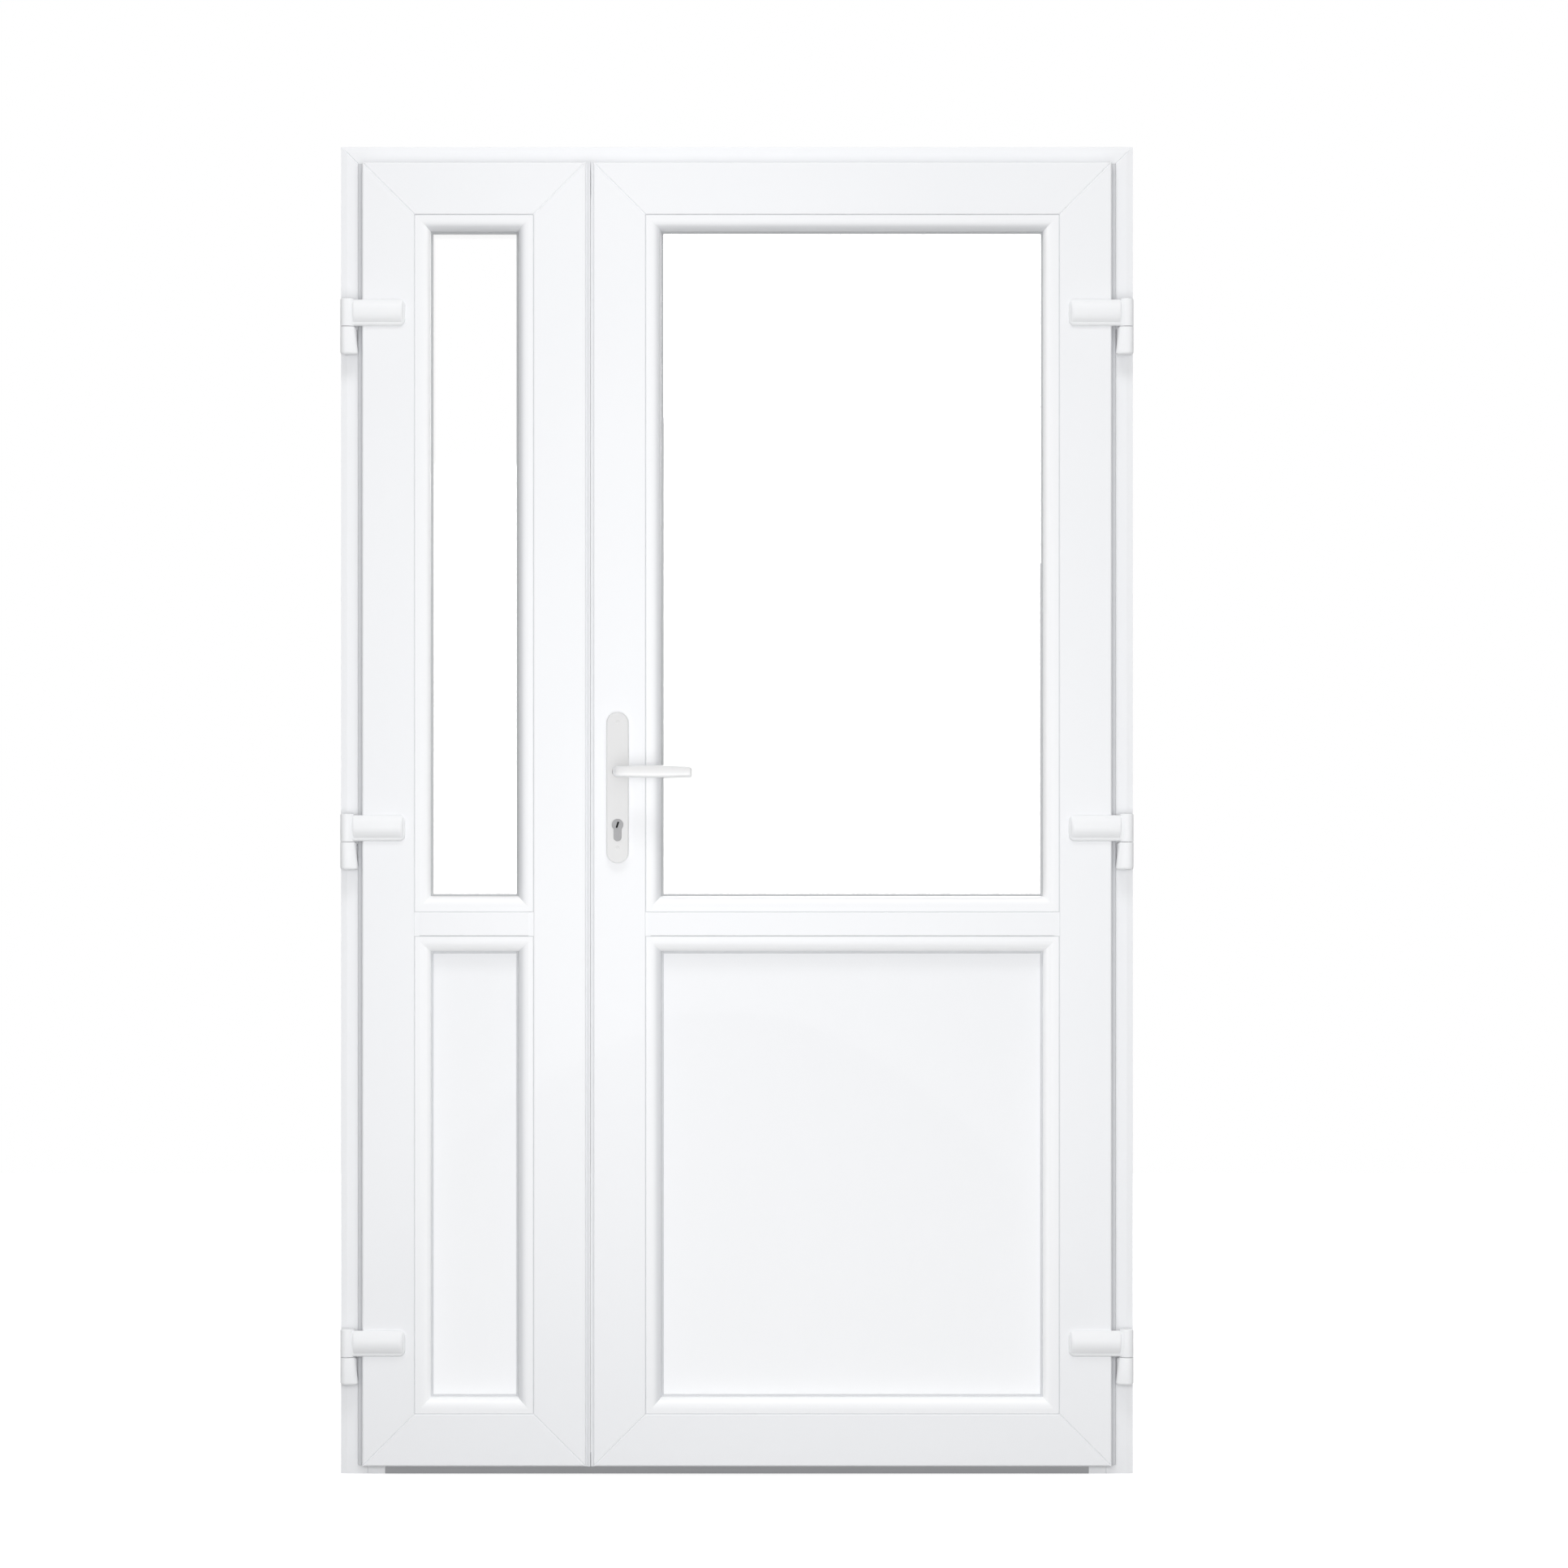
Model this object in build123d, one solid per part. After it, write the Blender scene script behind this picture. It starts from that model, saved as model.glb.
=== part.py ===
from build123d import *
from collections import namedtuple
import os

# White PVC entrance door with two unequal leaves in one frame, in millimetres.
# X runs along the wall, Y from the room to the outside, Z up from the floor.
# The origin is in the middle of the threshold's underside.

# Outer frame
DOOR_WIDTH = 1200.0
DOOR_HEIGHT = 2010.0
FRAME_DEPTH = 70.0
FRAME_FACE = 67.0
FRAME_LEG = 41.0
FRAME_LIP = 15.0
FRAME_BEVEL_WIDTH = 9.0
FRAME_BEVEL_DROP = 1.5
FRAME_SEAL_INSET = 5.0
ANCHOR_GROOVE_WIDTH = 8.0
ANCHOR_GROOVE_DEPTH = 3.0
ANCHOR_GROOVE_OFFSET = 20.0

# Threshold between the jambs
THRESHOLD_HEIGHT = 20.0
THRESHOLD_BEVEL = 4.0
TREAD_GROOVES = 5
TREAD_GROOVE_PITCH = 8.0
TREAD_GROOVE_WIDTH = 3.0
TREAD_GROOVE_DEPTH = 1.2

# Leaves and their places in the frame
NARROW_LEAF_WIDTH = 338.0
MEETING_GAP = 11.0
SIDE_REVEAL = 34.0
HEAD_REVEAL = 26.5
FLOOR_GAP = 14.0
LEAF_DEPTH = 70.0
LEAF_PROUD = 20.0
LEAF_FACE = 79.0
OVERLAP_WIDTH = 20.0
OVERLAP_THICKNESS = 15.0
GLAZING_LIP_WIDTH = 19.0
GLAZING_LIP_THICKNESS = 20.0
GLAZING_LIP_SLOPE = 5.0
TRANSOM_FACE = 36.0
TRANSOM_HEIGHT = 833.0
TRANSOM_END_WIDTH = 8.0
TRANSOM_END_DROP = 1.5
HARDWARE_GROOVE_WIDTH = 16.0
HARDWARE_GROOVE_DEPTH = 3.0
HARDWARE_GROOVE_SETBACK = 20.0
PROFILE_ROUND = 3.0
EDGE_ROUND = 2.0
SMALL_ROUND = 1.0
WELD_GROOVE = 1.3

# Glass, panels, beads and seals
INFILL_THICKNESS = 24.0
INFILL_CLEARANCE = 5.0
PANE_THICKNESS = 4.0
SPACER_WIDTH = 11.0
BEAD_WIDTH = 24.0
BEAD_STEP = 1.5
BEAD_FLAT = 8.0
BEAD_EDGE = 1.3
GLAZING_SEAL_THICKNESS = 3.0
GLAZING_SEAL_WIDTH = 8.0
GLAZING_SEAL_SHOWING = 2.2
SEAL_STEM_WIDTH = 3.0
SEAL_STEM_DEPTH = 2.5
SEAL_LIP_WIDTH = 5.0
EDGE_SEAL_INSET = 2.5
SEAL_CLEARANCE = 0.5
BOTTOM_SEAL_THICKNESS = 10.0
BOTTOM_SEAL_CLEARANCE = 0.6

# False mullion on the narrow leaf, which fills the meeting gap
NOSE_WIDTH = 4.0
NOSE_GAP = 4.2
NOSE_SETBACK = 1.5
NOSE_SHOULDER = 1.5
MULLION_SETBACK = 2.0
MULLION_NECK_WIDTH = 24.0
MULLION_NECK_DEPTH = 12.0
MULLION_WIDTH = 18.0
MEETING_LIP_SETBACK = 3.0
MEETING_LIP_THICKNESS = 2.5
MEETING_LIP_CLEARANCE = 0.8
COVER_STRIP_WIDTH = 15.5
COVER_STRIP_THICKNESS = 10.0

# Hinges
LOWEST_HINGE_FROM_FLOOR = 179.5
HIGHEST_HINGE_FROM_TOP = 275.0
HINGES_PER_LEAF = 3
HINGE_INSET = 10.4
HINGE_PROUD = 18.0
KNUCKLE_RADIUS = 9.3
KNUCKLE_LENGTH = 42.0
KNUCKLE_GAP = 0.8
HINGE_PIN_RADIUS = 5.0
HINGE_PIN_CLEARANCE = 0.05
HINGE_PIN_LENGTH = 28.0
HINGE_BORE_SPARE = 2.0
HINGE_FOOT_WIDTH = 22.0
HINGE_FOOT_TAPER = 5.0
HINGE_FOOT_THICKNESS = 4.0
HINGE_NECK_WIDTH = 13.0
ARM_LENGTH = 89.0
ARM_HEIGHT = 39.2
ARM_THICKNESS = 5.0
ARM_CORNER = 7.0
ARM_COVER_START = 11.5
ARM_COVER_END = 3.0
ARM_COVER_HEIGHT = 34.0
ARM_COVER_CROWN = 7.0
ARM_COVER_END_ROUND = 6.0

# Lock and handle on the main leaf
HANDLE_INSET = 37.0
LEVER_HEIGHT = 1063.0
CYLINDER_DROP = 80.0
PLATE_DROP = 24.0
PLATE_WIDTH = 33.5
PLATE_LENGTH = 228.0
PLATE_THICKNESS = 9.0
PLATE_BEVEL = 1.5
LEVER_REACH = 111.0
LEVER_GRIP_HEIGHT = 18.8
LEVER_GRIP_DEPTH = 12.0
LEVER_EDGE = 3.0
LEVER_STANDOFF = 40.0
LEVER_BEND = 16.0
LEVER_GAP = 0.5
LEVER_STUB_RADIUS = 8.0
LEVER_STUB_CLEARANCE = 0.05
SPINDLE_SIZE = 8.0
SPINDLE_BORE_RADIUS = 7.0
CYLINDER_RADIUS = 8.5
CYLINDER_WEB_RADIUS = 5.6
CYLINDER_TALL = 33.0
CYLINDER_PROUD = 2.0
CYLINDER_CLEARANCE = 0.2
PLUG_RADIUS = 6.5
PLUG_PROUD = 0.6
KEYWAY_WIDTH = 2.8
KEYWAY_HEIGHT = 10.0
KEYWAY_DEPTH = 6.0
KEYWAY_TILT = -18.0
FACEPLATE_MARGIN = 210.0
BOLT_LENGTH = 32.0
BOLT_PROUD = 1.0
BOLT_MARGIN = 3.0
BOLT_CLEARANCE = 1.0
STRIKE_MARGIN = 250.0
STRIKE_LENGTH = 180.0
STRIKE_THICKNESS = 2.5

# Depths along Y that several pieces share
DEPTH = Vector(0, 1, 0)
frame_room = -FRAME_DEPTH / 2
frame_out = FRAME_DEPTH / 2
frame_lip_face = frame_out - FRAME_LIP
leaf_room = frame_room - LEAF_PROUD
leaf_out = leaf_room + LEAF_DEPTH
overlap_back = leaf_room + OVERLAP_THICKNESS
rebate_face = leaf_out - GLAZING_LIP_THICKNESS
infill_out = rebate_face - GLAZING_SEAL_THICKNESS
infill_room = infill_out - INFILL_THICKNESS
bead_back = infill_room - GLAZING_SEAL_THICKNESS
bead_front = leaf_room + BEAD_STEP
groove_front = overlap_back + HARDWARE_GROOVE_SETBACK
groove_back = groove_front + HARDWARE_GROOVE_WIDTH
leaf_wide = LEAF_FACE + GLAZING_LIP_WIDTH

# Rectangles in the plane of the wall
Rect = namedtuple("Rect", "left right bottom top")


def inset(rect, amount):
    """Move all four sides of a rectangle inwards."""
    return Rect(rect.left + amount, rect.right - amount, rect.bottom + amount, rect.top - amount)


def block(rect, front, back):
    """Extrude a rectangle of the wall's plane between two depths."""
    width = rect.right - rect.left
    height = rect.top - rect.bottom
    middle = ((rect.left + rect.right) / 2, (front + back) / 2, (rect.bottom + rect.top) / 2)
    return Pos(*middle) * Box(width, back - front, height)


def ring(rect, start, end, front, back):
    """Make a rectangular ring between two insets and two depths."""
    return block(inset(rect, start), front, back) - block(inset(rect, end), front, back)


def outline(*corners):
    """Close a profile's outline from corners given as across, depth and corner radius."""
    points = [corner[:2] for corner in corners]
    radii = [corner[2] for corner in corners]
    return make_face(FilletPolyline(*points, radius=radii, close=True))


def edge_of(rect, side):
    """Give the middle of a rectangle's side, the direction inwards from it, and its length."""
    middle_x = (rect.left + rect.right) / 2
    middle_z = (rect.bottom + rect.top) / 2
    width = rect.right - rect.left
    height = rect.top - rect.bottom
    edges = {
        "left": (Vector(rect.left, 0, middle_z), Vector(1, 0, 0), height),
        "right": (Vector(rect.right, 0, middle_z), Vector(-1, 0, 0), height),
        "bottom": (Vector(middle_x, 0, rect.bottom), Vector(0, 0, 1), width),
        "top": (Vector(middle_x, 0, rect.top), Vector(0, 0, -1), width),
    }
    return edges[side]


def mitre_block(rect, side, reach, front, back, weld):
    """Make the trapezium that trims one side of a mitred rectangle, relieved along its weld lines."""
    outer = rect
    inner = inset(rect, reach)
    corners = {
        "left": ((outer.left, outer.bottom), (outer.left, outer.top), (inner.left, inner.top),
                 (inner.left, inner.bottom)),
        "right": ((outer.right, outer.bottom), (outer.right, outer.top), (inner.right, inner.top),
                  (inner.right, inner.bottom)),
        "bottom": ((outer.left, outer.bottom), (outer.right, outer.bottom), (inner.right, inner.bottom),
                   (inner.left, inner.bottom)),
        "top": ((outer.left, outer.top), (outer.right, outer.top), (inner.right, inner.top),
                (inner.left, inner.top)),
    }
    face = make_face(Polyline(*corners[side], close=True))
    solid = extrude(Plane.XZ.offset(-back) * face, amount=back - front)
    if weld > 0:
        slanted = [edge for edge in solid.edges() if is_slanted(edge)]
        solid = chamfer(slanted, weld)
    return solid


def is_slanted(edge):
    """Tell whether an edge runs at 45 degrees in the plane of the wall."""
    direction = edge.tangent_at(0.5)
    return abs(direction.X) > 0.5 and abs(direction.Z) > 0.5


def mitred_bar(section, rect, side, reach, front, back, weld=0.0):
    """Run a profile along one side of a rectangle and mitre both of its ends."""
    middle, across, length = edge_of(rect, side)
    plane = Plane(middle, x_dir=across, z_dir=across.cross(DEPTH))
    bar = extrude(plane * section, amount=length / 2, both=True)
    return bar & mitre_block(rect, side, reach, front, back, weld)


def upright_bar(section, bottom, top):
    """Run a plan section, given in X and Y, up between two heights."""
    return extrude(Pos(0, 0, bottom) * section, amount=top - bottom)


# Profiles
anchor_half = ANCHOR_GROOVE_WIDTH / 2
anchor_grooves = [
    (across, middle + edge, 0)
    for middle in (ANCHOR_GROOVE_OFFSET, -ANCHOR_GROOVE_OFFSET)
    for across, edge in ((0, anchor_half), (ANCHOR_GROOVE_DEPTH, anchor_half),
                         (ANCHOR_GROOVE_DEPTH, -anchor_half), (0, -anchor_half))
]
frame_section = outline(
    (0, frame_room + FRAME_BEVEL_DROP, 0),
    (FRAME_BEVEL_WIDTH, frame_room, 0),
    (FRAME_LEG, frame_room, EDGE_ROUND),
    (FRAME_LEG, frame_lip_face, 0),
    (FRAME_FACE - FRAME_SEAL_INSET - SEAL_STEM_WIDTH, frame_lip_face, 0),
    (FRAME_FACE - FRAME_SEAL_INSET - SEAL_STEM_WIDTH, frame_lip_face + SEAL_STEM_DEPTH, 0),
    (FRAME_FACE - FRAME_SEAL_INSET, frame_lip_face + SEAL_STEM_DEPTH, 0),
    (FRAME_FACE - FRAME_SEAL_INSET, frame_lip_face, 0),
    (FRAME_FACE, frame_lip_face, EDGE_ROUND),
    (FRAME_FACE, frame_out, EDGE_ROUND),
    (0, frame_out, 0),
    *anchor_grooves,
)

leaf_section = outline(
    (0, leaf_room, PROFILE_ROUND),
    (LEAF_FACE, leaf_room, EDGE_ROUND),
    (LEAF_FACE, rebate_face, 0),
    (leaf_wide, rebate_face, 0),
    (leaf_wide, leaf_out - GLAZING_LIP_THICKNESS / 2, 0),
    (leaf_wide - GLAZING_LIP_SLOPE, leaf_out, 0),
    (OVERLAP_WIDTH, leaf_out, EDGE_ROUND),
    (OVERLAP_WIDTH, groove_back, 0),
    (OVERLAP_WIDTH + HARDWARE_GROOVE_DEPTH, groove_back, 0),
    (OVERLAP_WIDTH + HARDWARE_GROOVE_DEPTH, groove_front, 0),
    (OVERLAP_WIDTH, groove_front, 0),
    (OVERLAP_WIDTH, overlap_back, 0),
    (EDGE_SEAL_INSET + SEAL_STEM_WIDTH, overlap_back, 0),
    (EDGE_SEAL_INSET + SEAL_STEM_WIDTH, overlap_back - SEAL_STEM_DEPTH, 0),
    (EDGE_SEAL_INSET, overlap_back - SEAL_STEM_DEPTH, 0),
    (EDGE_SEAL_INSET, overlap_back, 0),
    (0, overlap_back, 0),
)

transom_section = outline(
    (-TRANSOM_FACE / 2, leaf_room, EDGE_ROUND),
    (TRANSOM_FACE / 2, leaf_room, EDGE_ROUND),
    (TRANSOM_FACE / 2, rebate_face, 0),
    (TRANSOM_FACE / 2 + GLAZING_LIP_WIDTH, rebate_face, 0),
    (TRANSOM_FACE / 2 + GLAZING_LIP_WIDTH, leaf_out - GLAZING_LIP_THICKNESS / 2, 0),
    (TRANSOM_FACE / 2 + GLAZING_LIP_WIDTH - GLAZING_LIP_SLOPE, leaf_out, 0),
    (-TRANSOM_FACE / 2 - GLAZING_LIP_WIDTH + GLAZING_LIP_SLOPE, leaf_out, 0),
    (-TRANSOM_FACE / 2 - GLAZING_LIP_WIDTH, leaf_out - GLAZING_LIP_THICKNESS / 2, 0),
    (-TRANSOM_FACE / 2 - GLAZING_LIP_WIDTH, rebate_face, 0),
    (-TRANSOM_FACE / 2, rebate_face, 0),
)

bead_section = outline(
    (0, bead_front + BEAD_EDGE, 0),
    (BEAD_EDGE, bead_front, 0),
    (BEAD_WIDTH, bead_front, BEAD_WIDTH - BEAD_FLAT),
    (BEAD_WIDTH, bead_back, 0),
    (0, bead_back, 0),
)

# Layout of the leaves
half_width = DOOR_WIDTH / 2
leaf_top = DOOR_HEIGHT - HEAD_REVEAL
narrow_left = -half_width + SIDE_REVEAL
narrow_right = narrow_left + NARROW_LEAF_WIDTH
main_left = narrow_right + MEETING_GAP
narrow_rect = Rect(narrow_left, narrow_right, FLOOR_GAP, leaf_top)
main_rect = Rect(main_left, half_width - SIDE_REVEAL, FLOOR_GAP, leaf_top)
narrow_body = inset(narrow_rect, OVERLAP_WIDTH)
main_body = inset(main_rect, OVERLAP_WIDTH)
handle_x = main_left + HANDLE_INSET
cylinder_height = LEVER_HEIGHT - CYLINDER_DROP
plate_middle = LEVER_HEIGHT - PLATE_DROP
bolt_front = groove_front + BOLT_MARGIN
bolt_back = groove_back - BOLT_MARGIN
nodes = {}


# Outer frame
def make_frame():
    """Make the mitred head and jambs, the threshold, its end blocks and the frame's seal."""
    rect = Rect(-half_width, half_width, -FRAME_FACE, DOOR_HEIGHT)
    below_floor = block(Rect(-half_width, half_width, -FRAME_FACE, 0), frame_room, frame_out)
    bars = {
        side: mitred_bar(frame_section, rect, side, FRAME_FACE, frame_room, frame_out, WELD_GROOVE)
        for side in ("left", "right", "top")
    }
    nodes["frame_head"] = bars["top"]
    nodes["frame_jamb_left"] = bars["left"] - below_floor
    nodes["frame_jamb_right"] = bars["right"] - below_floor

    lip_inner = half_width - FRAME_FACE
    leg_inner = half_width - FRAME_LEG
    tread = outline(
        (0, frame_out, 0),
        (0, frame_room, 0),
        (THRESHOLD_HEIGHT - THRESHOLD_BEVEL, frame_room, 0),
        (THRESHOLD_HEIGHT, frame_room + THRESHOLD_BEVEL, SMALL_ROUND),
        (THRESHOLD_HEIGHT, frame_out, SMALL_ROUND),
    )
    plane = Plane((0, 0, 0), x_dir=(0, 0, 1), z_dir=(-1, 0, 0))
    threshold = extrude(plane * tread, amount=lip_inner, both=True)
    first_groove = -TREAD_GROOVE_PITCH * (TREAD_GROOVES - 1) / 2
    for index in range(TREAD_GROOVES):
        middle = first_groove + index * TREAD_GROOVE_PITCH
        groove = Rect(-lip_inner, lip_inner, THRESHOLD_HEIGHT - TREAD_GROOVE_DEPTH, THRESHOLD_HEIGHT)
        threshold -= block(groove, middle - TREAD_GROOVE_WIDTH / 2, middle + TREAD_GROOVE_WIDTH / 2)
    nodes["threshold"] = threshold
    nodes["threshold_end_blocks"] = [
        block(Rect(-leg_inner, -lip_inner, 0, THRESHOLD_HEIGHT), frame_room, frame_lip_face),
        block(Rect(lip_inner, leg_inner, 0, THRESHOLD_HEIGHT), frame_room, frame_lip_face),
    ]

    stem_start = FRAME_FACE - FRAME_SEAL_INSET - SEAL_STEM_WIDTH
    stem_end = stem_start + SEAL_STEM_WIDTH
    lip_start = stem_start - (SEAL_LIP_WIDTH - SEAL_STEM_WIDTH) / 2
    seal = ring(rect, stem_start, stem_end, frame_lip_face, frame_lip_face + SEAL_STEM_DEPTH)
    seal += ring(rect, lip_start, lip_start + SEAL_LIP_WIDTH, leaf_out + SEAL_CLEARANCE, frame_lip_face)
    below_tread = Rect(-half_width, half_width, -FRAME_FACE, THRESHOLD_HEIGHT)
    nodes["frame_seal"] = seal - block(below_tread, leaf_out, frame_out)


# Leaves
def make_leaf(name, rect, hinge_side, meeting_side):
    """Make one leaf: welded profiles, transom, glass, panel, beads and seals."""
    bars = {
        side: mitred_bar(leaf_section, rect, side, leaf_wide, leaf_room, leaf_out, WELD_GROOVE)
        for side in ("left", "right", "bottom", "top")
    }
    nodes[name + "_hinge_stile"] = bars[hinge_side]
    nodes[name + "_meeting_stile"] = bars[meeting_side]
    nodes[name + "_top_rail"] = bars["top"]
    nodes[name + "_bottom_rail"] = bars["bottom"]

    between = inset(rect, LEAF_FACE)
    transom_middle = Vector((between.left + between.right) / 2, 0, TRANSOM_HEIGHT)
    plane = Plane(transom_middle, x_dir=(0, 0, 1), z_dir=(-1, 0, 0))
    transom = extrude(plane * transom_section, amount=(between.right - between.left) / 2, both=True)
    lip_reach = TRANSOM_FACE / 2 + GLAZING_LIP_WIDTH
    transom_span = (TRANSOM_HEIGHT - lip_reach, TRANSOM_HEIGHT + lip_reach)
    for left, right in ((between.left, between.left + GLAZING_LIP_WIDTH),
                        (between.right - GLAZING_LIP_WIDTH, between.right)):
        transom -= block(Rect(left, right, *transom_span), rebate_face, leaf_out)
    for left, right in ((between.left, between.left + TRANSOM_END_WIDTH),
                        (between.right - TRANSOM_END_WIDTH, between.right)):
        transom -= block(Rect(left, right, *transom_span), leaf_room, leaf_room + TRANSOM_END_DROP)
    nodes[name + "_transom"] = transom

    glass_rect = Rect(between.left, between.right, TRANSOM_HEIGHT + TRANSOM_FACE / 2, between.top)
    panel_rect = Rect(between.left, between.right, between.bottom, TRANSOM_HEIGHT - TRANSOM_FACE / 2)
    glass_size = inset(glass_rect, INFILL_CLEARANCE)
    nodes[name + "_glass"] = [
        block(glass_size, infill_room, infill_room + PANE_THICKNESS),
        block(glass_size, infill_out - PANE_THICKNESS, infill_out),
    ]
    nodes[name + "_spacer"] = ring(
        glass_size, 0, SPACER_WIDTH, infill_room + PANE_THICKNESS, infill_out - PANE_THICKNESS)
    nodes[name + "_panel"] = block(inset(panel_rect, INFILL_CLEARANCE), infill_room, infill_out)

    for direction, sides in (("upright", ("left", "right")), ("level", ("bottom", "top"))):
        nodes[name + "_beads_" + direction] = [
            mitred_bar(bead_section, opening, side, BEAD_WIDTH, bead_front, bead_back)
            for opening in (glass_rect, panel_rect)
            for side in sides
        ]
    nodes[name + "_glazing_seals"] = [
        ring(opening, cover - GLAZING_SEAL_WIDTH, cover + GLAZING_SEAL_SHOWING, front, back)
        for opening in (glass_rect, panel_rect)
        for cover, front, back in ((BEAD_WIDTH, bead_back, infill_room),
                                   (GLAZING_LIP_WIDTH, infill_out, rebate_face))
    ]

    body = inset(rect, OVERLAP_WIDTH)
    bottom_seal = Rect(body.left, body.right, THRESHOLD_HEIGHT + BOTTOM_SEAL_CLEARANCE, body.bottom)
    nodes[name + "_bottom_seal"] = block(bottom_seal, -BOTTOM_SEAL_THICKNESS / 2, BOTTOM_SEAL_THICKNESS / 2)
    lip_start = EDGE_SEAL_INSET - (SEAL_LIP_WIDTH - SEAL_STEM_WIDTH) / 2
    stem_end = EDGE_SEAL_INSET + SEAL_STEM_WIDTH
    seal = ring(rect, EDGE_SEAL_INSET, stem_end, overlap_back - SEAL_STEM_DEPTH, overlap_back)
    seal += ring(rect, lip_start, lip_start + SEAL_LIP_WIDTH, overlap_back, frame_room - SEAL_CLEARANCE)
    return seal


def make_meeting(narrow_seal, main_seal):
    """Make what closes the meeting gap: the false mullion, the main leaf's lip seal and cover strip."""
    nose_right = main_left - NOSE_GAP
    nose_left = nose_right - NOSE_WIDTH
    nose_front = leaf_room + NOSE_SETBACK
    shoulder = nose_front + NOSE_SHOULDER
    body_front = overlap_back + MULLION_SETBACK
    neck_right = narrow_body.right + MULLION_NECK_WIDTH
    mullion_right = narrow_body.right + MULLION_WIDTH
    neck_back = body_front + MULLION_NECK_DEPTH
    nose = outline(
        (narrow_right, shoulder, 0),
        (nose_left, shoulder, 0),
        (nose_left, nose_front, SMALL_ROUND),
        (nose_right, nose_front, SMALL_ROUND),
        (nose_right, overlap_back, 0),
        (neck_right, body_front, 0),
        (narrow_right, body_front, 0),
    )
    body = outline(
        (narrow_body.right, body_front, 0),
        (neck_right, body_front, 0),
        (neck_right, neck_back, EDGE_ROUND),
        (mullion_right, neck_back, 0),
        (mullion_right, leaf_out, EDGE_ROUND),
        (narrow_body.right, leaf_out, 0),
    )
    mullion = upright_bar(body, narrow_body.bottom, narrow_body.top)
    nodes["false_mullion"] = mullion + upright_bar(nose, FLOOR_GAP, leaf_top)
    lock_middle = (LEVER_HEIGHT + cylinder_height) / 2
    nodes["strike_plates"] = [
        strike_plate(mullion_right, narrow_body.bottom + STRIKE_MARGIN, [narrow_body.bottom + STRIKE_MARGIN]),
        strike_plate(mullion_right, lock_middle, [LEVER_HEIGHT, cylinder_height]),
        strike_plate(mullion_right, narrow_body.top - STRIKE_MARGIN, [narrow_body.top - STRIKE_MARGIN]),
    ]

    meeting_side = Rect(narrow_body.right, narrow_right, FLOOR_GAP, leaf_top)
    nodes["narrow_edge_seal"] = narrow_seal - block(meeting_side, leaf_room, frame_room)
    lip_front = leaf_room + MEETING_LIP_SETBACK
    lip_back = lip_front + MEETING_LIP_THICKNESS
    lip_left = nose_right + MEETING_LIP_CLEARANCE
    lip = block(Rect(lip_left, main_left, FLOOR_GAP, leaf_top), lip_front, lip_back)
    stem_right = main_left + SEAL_STEM_DEPTH
    stem = block(Rect(main_left, stem_right, main_body.bottom, main_body.top), lip_front, lip_back)
    nodes["main_meeting_stile"] -= stem
    nodes["main_edge_seal"] = [main_seal, lip + stem]
    strip = outline(
        (main_body.left, leaf_out - COVER_STRIP_THICKNESS, 0),
        (main_body.left - COVER_STRIP_WIDTH, leaf_out - COVER_STRIP_THICKNESS, 0),
        (main_body.left - COVER_STRIP_WIDTH, leaf_out, EDGE_ROUND),
        (main_body.left, leaf_out, 0),
    )
    nodes["outer_cover_strip"] = upright_bar(strip, main_body.bottom, main_body.top)


def strike_plate(left, middle, bolt_heights):
    """Make one strike plate with a slot for each bolt that goes into it."""
    right = left + STRIKE_THICKNESS
    face = Rect(left, right, middle - STRIKE_LENGTH / 2, middle + STRIKE_LENGTH / 2)
    plate = block(face, groove_front, groove_back)
    half_slot = BOLT_LENGTH / 2 + BOLT_CLEARANCE
    for height in bolt_heights:
        slot = Rect(left, right, height - half_slot, height + half_slot)
        plate -= block(slot, bolt_front - BOLT_CLEARANCE, bolt_back + BOLT_CLEARANCE)
    return plate


# Hinges
def hinge_base(side, height):
    """Make the frame's half of one hinge: a foot on the frame, the lower knuckle and the pin."""
    axis_x = side * (half_width - HINGE_INSET)
    axis_y = frame_room - HINGE_PROUD
    top = height - KNUCKLE_GAP / 2
    bottom = top - KNUCKLE_LENGTH
    foot_outer = half_width - HINGE_INSET + KNUCKLE_RADIUS - SMALL_ROUND
    foot_inner = foot_outer - HINGE_FOOT_WIDTH
    foot_outline = Polyline(
        (side * foot_outer, bottom),
        (side * foot_inner, bottom),
        (side * (foot_inner + HINGE_FOOT_TAPER), top),
        (side * foot_outer, top),
        close=True)
    neck = Rect(axis_x - HINGE_NECK_WIDTH / 2, axis_x + HINGE_NECK_WIDTH / 2, bottom, top)
    knuckle = upright_bar(Pos(axis_x, axis_y) * Circle(KNUCKLE_RADIUS), bottom, top)
    knuckle += block(neck, axis_y, frame_room)
    knuckle += extrude(Plane.XZ.offset(-frame_room) * make_face(foot_outline), amount=HINGE_FOOT_THICKNESS)
    pin_radius = HINGE_PIN_RADIUS - HINGE_PIN_CLEARANCE
    return knuckle + upright_bar(Pos(axis_x, axis_y) * Circle(pin_radius), top, top + HINGE_PIN_LENGTH)


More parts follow.
